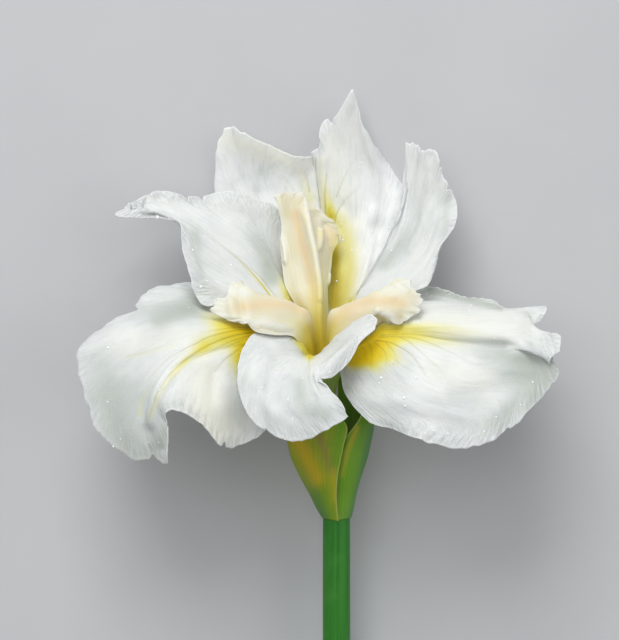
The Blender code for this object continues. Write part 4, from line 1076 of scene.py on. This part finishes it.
def stamen(name, shape, material):
    """A stamen: a thin filament and its long, flattened anther."""
    rows, sides = STAMEN_GRID
    places = np.linspace(0.0, 1.0, rows)
    root = round_the_tube(STAMEN_ROOT_RADIUS, shape["azimuth"], ROOT_HEIGHT)
    path = spline(np.vstack([[root], seen(shape["path"])]), places)
    radii = np.interp(places, STAMEN_PLACES, STAMEN_RADII)
    return round_piece(name, path, radii, sides, material, STAMEN_SQUASH, STAMEN_RIBS)


def strewn_specks():
    """The tiny beads' places in the photograph's pixels and their radii, drawn at random."""
    random = np.random.RandomState(DEW_SEED)
    return [
        (random.uniform(*SPECKS_ACROSS), random.uniform(*SPECKS_DOWN), random.uniform(*SPECK_SIZES))
        for speck in range(SPECKS)
    ]


def met_by_sight(graph, right, down):
    """Where the line of sight through a pixel first meets a petal, and the petal's normal there."""
    eye = FLOWER @ Vector((EYE_RIGHT * MM, EYE_UP * MM, EYE_DISTANCE * MM))
    aside = (right - HEART_PIXEL[0]) / PIXELS_PER_MM * MM
    above = (HEART_PIXEL[1] - down) / PIXELS_PER_MM * MM
    sight = (FLOWER @ Vector((aside, above, 0.0)) - eye).normalized()
    met, place, normal, face, thing, turn = bpy.context.scene.ray_cast(graph, eye, sight)
    if met and thing.name.startswith(("fall", "standard")):
        return place, normal
    return None


def dew(material):
    """Beads of dew: the larger ones at their places in the photograph, tiny ones strewn between."""
    graph = bpy.context.evaluated_depsgraph_get()
    flat = Matrix.Diagonal((1.0, 1.0, BEAD_HEIGHT, 1.0))
    beads = bmesh.new()
    for right, down, size in list(DEW) + strewn_specks():
        spot = met_by_sight(graph, right, down)
        if spot is None:
            continue
        place, normal = spot
        upright = Matrix.Translation(place) @ normal.to_track_quat("Z", "Y").to_matrix().to_4x4()
        bmesh.ops.create_uvsphere(
            beads, u_segments=BEAD_SEGMENTS, v_segments=BEAD_RINGS, radius=size * MM, matrix=upright @ flat)
    mesh = bpy.data.meshes.new("dew")
    beads.to_mesh(mesh)
    beads.free()
    piece = bpy.data.objects.new("dew", mesh)
    bpy.context.scene.collection.objects.link(piece)
    mesh.polygons.foreach_set("use_smooth", [True] * len(mesh.polygons))
    mesh.materials.append(material)
    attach(piece, "root")
    return piece


def new_group(name, inputs, outputs):
    """Starts a shader node group with number sockets."""
    group = bpy.data.node_groups.new(name, "ShaderNodeTree")
    for title, value in inputs:
        socket = group.interface.new_socket(title, in_out="INPUT", socket_type="NodeSocketFloat")
        socket.default_value = value
    for title in outputs:
        group.interface.new_socket(title, in_out="OUTPUT", socket_type="NodeSocketFloat")
    return group, group.nodes.new("NodeGroupInput"), group.nodes.new("NodeGroupOutput")


def feed(tree, socket, value):
    """Sets a socket to a number or a colour, or links another node's output to it."""
    if isinstance(value, tuple):
        socket.default_value = (*value, 1.0)
    elif isinstance(value, (int, float)):
        socket.default_value = value
    else:
        tree.links.new(value, socket)


def maths(tree, kind, *values):
    """Adds a Math node and returns its result."""
    node = tree.nodes.new("ShaderNodeMath")
    node.operation = kind
    for socket, value in zip(node.inputs, values):
        feed(tree, socket, value)
    return node.outputs[0]


def times(tree, first, second):
    """Multiplies two values."""
    return maths(tree, "MULTIPLY", first, second)


def plus(tree, first, second):
    """Adds two values."""
    return maths(tree, "ADD", first, second)


def minus(tree, first, second):
    """Takes the second value from the first."""
    return maths(tree, "SUBTRACT", first, second)


def stepped(tree, value, low, high, start=0.0, end=1.0):
    """Adds a smooth Map Range node from low to high and returns its result."""
    node = tree.nodes.new("ShaderNodeMapRange")
    node.interpolation_type = "SMOOTHSTEP"
    tree.links.new(value, node.inputs["Value"])
    for title, setting in (("From Min", low), ("From Max", high), ("To Min", start), ("To Max", end)):
        feed(tree, node.inputs[title], setting)
    return node.outputs[0]


def noise(tree, vector, scale, detail=2.0):
    """Adds a noise texture and returns its value, about 0.5 on average."""
    node = tree.nodes.new("ShaderNodeTexNoise")
    node.inputs["Scale"].default_value = scale
    node.inputs["Detail"].default_value = detail
    tree.links.new(vector, node.inputs["Vector"])
    return node.outputs[0]


def combined(tree, first, second):
    """Adds a vector from two values."""
    node = tree.nodes.new("ShaderNodeCombineXYZ")
    for socket, value in zip(node.inputs, (first, second)):
        feed(tree, socket, value)
    return node.outputs[0]


# the petals' skin: how fine its cells, wrinkles and blotches are, and how often creases break off
CELL_SCALE = 2200.0
WRINKLE_SCALE = 520.0
MOTTLE_SCALE = 130.0
CREASE_BREAKS = 9.0


def vein_group():
    """Fine veins that fan out from a blade's root: lines of even width, more of them further out."""
    group, start, end = new_group(
        "fanning veins",
        (("Side", 0.0), ("Out", 0.0), ("Spread", 50.0), ("Lines", 20.0), ("Width", 0.3), ("Wander", 0.01)),
        ("Veins",),
    )
    side, out, spread, lines, width, wander = (start.outputs[index] for index in range(6))
    drift = noise(group, combined(group, times(group, side, 16.0), times(group, out, 5.0)), 1.0)
    wandered = plus(group, side, times(group, minus(group, drift, 0.5), wander))
    total = None
    for more, first_seen, strength in ((1.0, -0.2, 1.0), (2.0, 0.3, 0.75), (4.0, 0.55, 0.55)):
        count = times(group, lines, more)
        phase = maths(group, "FRACT", times(group, wandered, count))
        apart = maths(group, "ABSOLUTE", minus(group, phase, 0.5))
        distance = maths(group, "DIVIDE", times(group, apart, spread), count)
        line = stepped(group, distance, 0.0, width, strength, 0.0)
        faded = times(group, line, stepped(group, out, first_seen, first_seen + 0.2))
        total = faded if total is None else maths(group, "MAXIMUM", total, faded)
    group.links.new(total, end.inputs["Veins"])
    return group


def crepe_group():
    """The tiny cells, wrinkles and blotches of a petal's skin."""
    group, start, end = new_group("petal skin", (("Cells", 1.0), ("Wrinkles", 1.0)), ("Height", "Mottle"))
    place = group.nodes.new("ShaderNodeTexCoord").outputs["Object"]
    cells = times(group, noise(group, place, CELL_SCALE), start.outputs["Cells"])
    wrinkles = times(group, noise(group, place, WRINKLE_SCALE, 4.0), start.outputs["Wrinkles"])
    group.links.new(plus(group, cells, wrinkles), end.inputs["Height"])
    group.links.new(noise(group, place, MOTTLE_SCALE, 4.0), end.inputs["Mottle"])
    return group


def crinkle_group():
    """Broken creases that run outward from a blade's root."""
    group, start, end = new_group("crinkles", (("Side", 0.0), ("Out", 0.0), ("Creases", 60.0)), ("Crinkle",))
    side = times(group, start.outputs["Side"], start.outputs["Creases"])
    out = times(group, start.outputs["Out"], CREASE_BREAKS)
    group.links.new(noise(group, combined(group, side, out), 1.0, 4.0), end.inputs["Crinkle"])
    return group


VEINS = vein_group()
SKIN = crepe_group()
CRINKLES = crinkle_group()


class Finish:
    """A material with its Principled shader, and the nodes that its colours are mixed from."""

    def __init__(self, name, roughness=0.5, subsurface=0.25, specular=0.35):
        self.material = bpy.data.materials.new(name)
        self.material.use_nodes = True
        self.tree = self.material.node_tree
        self.shader = self.tree.nodes["Principled BSDF"]
        self.shader.inputs["Roughness"].default_value = roughness
        self.shader.inputs["Subsurface Weight"].default_value = subsurface
        self.shader.inputs["Subsurface Radius"].default_value = (1.0, 0.8, 0.6)
        self.shader.inputs["Subsurface Scale"].default_value = 0.0015
        self.shader.inputs["Specular IOR Level"].default_value = specular
        uv = self.tree.nodes.new("ShaderNodeUVMap")
        uv.uv_map = "BladeUV"
        parts = self.tree.nodes.new("ShaderNodeSeparateXYZ")
        self.tree.links.new(uv.outputs[0], parts.inputs[0])
        self.side, self.out = parts.outputs[0], parts.outputs[1]
        self.place = self.tree.nodes.new("ShaderNodeTexCoord").outputs["Object"]

    def value(self, title):
        """A value that the mesh keeps at its points."""
        node = self.tree.nodes.new("ShaderNodeAttribute")
        node.attribute_name = title
        return node.outputs["Fac"]

    def mix(self, amount, first, second):
        """Mixes two colours, each given as numbers or as another node's output."""
        node = self.tree.nodes.new("ShaderNodeMix")
        node.data_type = "RGBA"
        node.clamp_factor = True
        for index, value in ((0, amount), (6, first), (7, second)):
            feed(self.tree, node.inputs[index], value)
        return node.outputs[2]

    def shared(self, group, **settings):
        """Adds one of the shared groups with its settings, and returns its outputs."""
        node = self.tree.nodes.new("ShaderNodeGroup")
        node.node_tree = group
        for title, setting in settings.items():
            feed(self.tree, node.inputs[title], setting)
        return node.outputs

    def veins(self, lines, width, wander=0.012):
        """The fanning veins of this blade."""
        return self.shared(
            VEINS, Side=self.side, Out=self.out, Spread=self.value("spread"),
            Lines=lines, Width=width, Wander=wander)["Veins"]

    def crinkles(self, creases):
        """The broken creases of this blade."""
        return self.shared(CRINKLES, Side=self.side, Out=self.out, Creases=creases)["Crinkle"]

    def skin(self, cells=1.0, wrinkles=1.0):
        """The skin's height and mottle."""
        skin = self.shared(SKIN, Cells=cells, Wrinkles=wrinkles)
        return skin["Height"], skin["Mottle"]

    def coloured(self, colour, roughness=None):
        """Feeds the shader's colour and roughness."""
        self.tree.links.new(colour, self.shader.inputs["Base Color"])
        if roughness is not None:
            self.tree.links.new(roughness, self.shader.inputs["Roughness"])

    def bumped(self, height, distance):
        """Lets a height of 0 to 1 raise the surface by a distance in millimetres."""
        bump = self.tree.nodes.new("ShaderNodeBump")
        bump.inputs["Distance"].default_value = distance * MM
        self.tree.links.new(height, bump.inputs["Height"])
        self.tree.links.new(bump.outputs[0], self.shader.inputs["Normal"])


CREASES_AT_EDGE = 170.0

# the petals' colours; the grey-white and the grey-green shade below also serve as painted shade
# and painted shadow, the bright white as painted light on the rims and over the back fall, and the
# cream white partly as painted light
WHITE = (0.78, 0.80, 0.78)
LIT_WHITE = (0.89, 0.90, 0.88)
GREY_WHITE_AND_SHADE = (0.62, 0.655, 0.645)
SHADE = (0.37, 0.42, 0.35)
CREAM_AND_LIT_WHITE = (0.86, 0.85, 0.72)
PALE_YELLOW = (0.78, 0.71, 0.075)
YELLOW = (0.74, 0.57, 0.002)
GOLD = (0.94, 0.65, 0.001)
OLIVE = (0.36, 0.30, 0.02)

# the style arms' colours
CREAM = (0.73, 0.675, 0.49)
# the crest's pale colour also lies along the ridges, where it is partly painted highlight, and the peach
# below partly too
CREST = (0.82, 0.82, 0.73)
PEACH = (0.79, 0.60, 0.35)
HEART = (0.58, 0.42, 0.006)

# the spathes' colours
LEFT_SPATHE = (0.30, 0.37, 0.015)
RIGHT_SPATHE = (0.16, 0.34, 0.02)
DARK_STREAK = (0.14, 0.30, 0.015)
FRESH_GREEN = (0.14, 0.33, 0.008)
BLUE_GREEN = (0.09, 0.24, 0.08)
ORANGE = (0.60, 0.43, 0.012)
BROWN = (0.32, 0.22, 0.06)
RIB_GREEN = (0.07, 0.16, 0.02)
PAPERY_EDGE = (0.48, 0.50, 0.14)

# the body, the streaks and the pale mottle of each stalk
STEM_GREENS = ((0.028, 0.22, 0.015), (0.015, 0.15, 0.008), (0.07, 0.28, 0.04))
TUBE_GREENS = ((0.34, 0.47, 0.10), (0.26, 0.39, 0.07), (0.5, 0.58, 0.18))
STAMEN_CREAMS = ((0.70, 0.62, 0.34), (0.60, 0.50, 0.24), (0.80, 0.74, 0.5))

# the beads' opaque whites are painted: they stand in for the petal seen through the water and for its glints
DEW_PAINTED_WHITES = ((0.90, 0.92, 0.92), (0.96, 0.97, 0.97))
FLOOR_GREYS = ((0.54, 0.55, 0.56), (0.555, 0.565, 0.575))

# the lamps: the place of each beside the heart in metres, its power and its size, and the light
# from all round
LAMPS = dict(
    key=((-0.2, 0.8, 0.7), 7.6, 0.7),
    side=((0.8, 0.0, 0.5), 1.6, 0.8),
    front=((-0.25, 0.1, 1.0), 2.2, 0.7),
)
STUDIO_COLOUR = (0.97, 0.98, 1.0)
STUDIO_STRENGTH = 0.38


def petal_finish(name, lines, fringed, creases=60.0, white=WHITE):
    """White crepe with faint veins, and the yellow and gold that the blade is painted with."""
    finish = Finish(name, specular=0.4)
    tree = finish.tree
    veins = finish.veins(lines, 0.25)
    height, mottle = finish.skin()
    crinkle = finish.crinkles(creases)
    # the mottle tints the white at random; the creases grey it as painted shade
    mottle_and_crease_shade = stepped(tree, mottle, 0.4, 0.7, 0.0, 0.55)
    mottle_and_crease_shade = plus(tree, mottle_and_crease_shade, stepped(tree, crinkle, 0.46, 0.75, 0.0, 0.45))
    # the grey strokes darken the white where the blade lies in shade or under another blade: painted shade
    # and painted shadow
    painted_shade_and_pale_crest = finish.value("painted_shade_and_pale_crest")
    white = finish.mix(plus(tree, times(tree, painted_shade_and_pale_crest, 0.75), mottle_and_crease_shade), white, GREY_WHITE_AND_SHADE)
    white = finish.mix(stepped(tree, painted_shade_and_pale_crest, 0.35, 1.1, 0.0, 0.75), white, SHADE)
    white = finish.mix(times(tree, veins, 0.08), white, GREY_WHITE_AND_SHADE)
    # grey streaks across the crimped margin: painted shade of its creases, which the bump below also sinks
    streaks = stepped(tree, finish.crinkles(CREASES_AT_EDGE), 0.42, 0.66)
    margin_crease_shade = times(tree, streaks, stepped(tree, finish.value("edge"), 6.5, 0.8))
    white = finish.mix(times(tree, margin_crease_shade, fringed), white, GREY_WHITE_AND_SHADE)
    # a brighter rim along the thin edge: painted light
    white = finish.mix(stepped(tree, finish.value("edge"), 0.5, 0.05, 0.0, 0.7), white, LIT_WHITE)
    # the cream strokes: painted light on the lit parts of the blade, and the cream of the back fall's haft
    white = finish.mix(finish.value("painted_light_and_warm_tint"), white, CREAM_AND_LIT_WHITE)
    painted_yellow = finish.value("yellow")
    yellow = finish.mix(stepped(tree, painted_yellow, 0.0, 0.6, 0.0, 0.85), white, PALE_YELLOW)
    yellow = finish.mix(stepped(tree, painted_yellow, 0.35, 0.9, 0.0, 0.95), yellow, YELLOW)
    golden = finish.mix(stepped(tree, finish.value("gold"), 0.1, 0.85), yellow, GOLD)
    # the olive strokes: veins, and on the back fall painted shade in the hollow beside its style arm
    drawn = times(tree, finish.value("veins_and_hollow_shade"), stepped(tree, mottle, 0.2, 0.5, 0.45, 0.85))
    finish.coloured(finish.mix(drawn, golden, OLIVE), stepped(tree, mottle, 0.2, 0.8, 0.38, 0.54))
    lift = plus(tree, times(tree, veins, -0.1), times(tree, height, 0.4))
    lift = plus(tree, lift, times(tree, crinkle, 0.6))
    lift = minus(tree, lift, times(tree, margin_crease_shade, 0.8 * fringed))
    finish.bumped(minus(tree, lift, times(tree, finish.value("veins_and_hollow_shade"), 0.4)), 0.14)
    return finish.material


def style_finish(name):
    """Cream with a peach band along the ridge, and gold in the throat."""
    finish = Finish(name)
    tree = finish.tree
    height, mottle = finish.skin()
    crinkle = finish.crinkles(16.0)
    cream = finish.mix(stepped(tree, mottle, 0.35, 0.7, 0.0, 0.5), CREAM, CREAM_AND_LIT_WHITE)
    # pale strokes along the crests and ridges: partly painted highlight
    cream = finish.mix(finish.value("painted_shade_and_pale_crest"), cream, CREST)
    cream = finish.mix(stepped(tree, crinkle, 0.5, 0.8, 0.0, 0.3), cream, PALE_YELLOW)
    # a pale frilled edge, partly painted light
    cream = finish.mix(stepped(tree, finish.value("edge"), 0.6, 0.1, 0.0, 0.7), cream, CREST)
    # the peach band along the ridge, partly painted highlight
    painted_light_and_warm_tint = finish.mix(times(tree, finish.value("painted_light_and_warm_tint"), 0.85), cream, PEACH)
    yellow = finish.mix(finish.value("yellow"), painted_light_and_warm_tint, PALE_YELLOW)
    golden = finish.mix(finish.value("gold"), yellow, HEART)
    finish.coloured(golden, stepped(tree, mottle, 0.2, 0.8, 0.42, 0.56))
    finish.bumped(plus(tree, times(tree, crinkle, 0.6), times(tree, height, 0.4)), 0.12)
    return finish.material


def spathe_finish(name, body):
    """A bract's green with its painted tints, faint parallel ribs and a papery edge."""
    finish = Finish(name, subsurface=0.12, specular=0.3)
    tree = finish.tree
    ribs = finish.veins(26, 0.16, 0.004)
    height, mottle = finish.skin(0.6, 1.2)
    crinkle = finish.crinkles(40.0)
    colour = finish.mix(stepped(tree, crinkle, 0.4, 0.75, 0.0, 0.35), body, DARK_STREAK)
    for title, tint in (("green", FRESH_GREEN), ("blue", BLUE_GREEN), ("orange", ORANGE), ("brown", BROWN)):
        colour = finish.mix(finish.value(title), colour, tint)
    colour = finish.mix(times(tree, ribs, 0.14), colour, RIB_GREEN)
    edged = finish.mix(stepped(tree, finish.value("edge"), 0.4, 0.05, 0.0, 0.6), colour, PAPERY_EDGE)
    finish.coloured(edged, stepped(tree, mottle, 0.2, 0.8, 0.42, 0.58))
    finish.bumped(plus(tree, times(tree, ribs, -0.3), times(tree, height, 0.3)), 0.1)
    return finish.material


def stalk_finish(name, body, streak, pale):
    """A smooth green stalk with faint streaks along its length."""
    finish = Finish(name, roughness=0.45, subsurface=0.08, specular=0.3)
    tree = finish.tree
    height, mottle = finish.skin(0.5, 0.6)
    length = combined(tree, times(tree, finish.side, 60.0), times(tree, finish.out, 3.0))
    streaks = noise(tree, length, 1.0)
    green = finish.mix(stepped(tree, streaks, 0.35, 0.7), body, streak)
    green = finish.mix(stepped(tree, mottle, 0.5, 0.8, 0.0, 0.6), green, pale)
    finish.coloured(green, stepped(tree, mottle, 0.2, 0.8, 0.32, 0.5))
    finish.bumped(plus(tree, streaks, times(tree, height, 0.3)), 0.08)
    return finish.material


def dew_finish():
    """Water painted opaque white, standing in for the petal seen through it and for its glints, with a
    bright gloss.
    """
    finish = Finish("dew water", roughness=0.04, subsurface=0.0, specular=1.0)
    tint = noise(finish.tree, finish.place, 300.0)
    finish.coloured(finish.mix(stepped(finish.tree, tint, 0.3, 0.7), *DEW_PAINTED_WHITES))
    return finish.material


def floor():
    """The pale plain floor that the flower lies on."""
    bpy.ops.object.select_all(action="DESELECT")
    bpy.ops.mesh.primitive_plane_add(size=4.0, location=(0.0, 0.0, 0.0))
    ground = bpy.context.object
    ground.name = "floor"
    finish = Finish("pale floor", roughness=0.8, subsurface=0.0, specular=0.2)
    grain = noise(finish.tree, finish.place, 40.0, 3.0)
    finish.coloured(finish.mix(stepped(finish.tree, grain, 0.3, 0.7), *FLOOR_GREYS))
    ground.data.materials.append(finish.material)


def lamp(name, place, power, size):
    """A soft square light that faces the heart of the flower."""
    light = bpy.data.lights.new(name, "AREA")
    light.energy = power
    light.size = size
    thing = bpy.data.objects.new(name, light)
    bpy.context.scene.collection.objects.link(thing)
    heart = FLOWER.translation
    thing.location = heart + Vector(place)
    thing.rotation_euler = Vector(place).to_track_quat("Z", "Y").to_euler()


def lights():
    """Soft light from above the flower's head, from beside it, from its front and from all round."""
    for name, (place, power, size) in LAMPS.items():
        lamp(name, place, power, size)
    world = bpy.data.worlds.new("studio")
    bpy.context.scene.world = world
    world.use_nodes = True
    background = world.node_tree.nodes["Background"]
    background.inputs["Color"].default_value = (*STUDIO_COLOUR, 1.0)
    background.inputs["Strength"].default_value = STUDIO_STRENGTH


def camera():
    """The camera at the eye, straight in front of the flower."""
    data = bpy.data.cameras.new("camera")
    data.sensor_width = SENSOR_WIDTH
    data.lens = SENSOR_WIDTH * EYE_DISTANCE / VIEW_WIDTH
    thing = bpy.data.objects.new("camera", data)
    bpy.context.scene.collection.objects.link(thing)
    thing.matrix_world = FLOWER @ Matrix.Translation((EYE_RIGHT * MM, EYE_UP * MM, EYE_DISTANCE * MM))
    bpy.context.scene.camera = thing


camera()
lights()
floor()

petal("fall_left", FALL_LEFT, FALL_GRID, petal_finish("left fall", 22, 0.6))
petal("fall_right", FALL_RIGHT, FALL_GRID, petal_finish("right fall", 22, 0.8))
# the back fall, which gets less light than the others, is given the brighter white: painted light
petal("fall_back", FALL_BACK, FALL_GRID, petal_finish("back fall", 20, 0.25, 60.0, LIT_WHITE))
petal("standard_left", STANDARD_LEFT, STANDARD_GRID, petal_finish("left standard", 18, 0.7))
petal("standard_right", STANDARD_RIGHT, STANDARD_GRID, petal_finish("right standard", 16, 0.4, 80.0))
petal("standard_front", STANDARD_FRONT, STANDARD_GRID, petal_finish("front standard", 16, 0.45))
style_arm("style_arm_left", STYLE_LEFT, 23, style_finish("left style arm"))
style_arm("style_arm_right", STYLE_RIGHT, 29, style_finish("right style arm"))
style_arm("style_arm_back", STYLE_BACK, 31, style_finish("back style arm"))
spathe("spathe_left", SPATHE_LEFT, 37, spathe_finish("left spathe", LEFT_SPATHE))
spathe("spathe_right", SPATHE_RIGHT, 41, spathe_finish("right spathe", RIGHT_SPATHE))
stem(stalk_finish("green stem", *STEM_GREENS))
tube(stalk_finish("green tube", *TUBE_GREENS))
for title, shape in STAMENS.items():
    stamen(title, shape, stalk_finish(title + " skin", *STAMEN_CREAMS))

dew(dew_finish())

bpy.context.scene.view_settings.view_transform = "Standard"
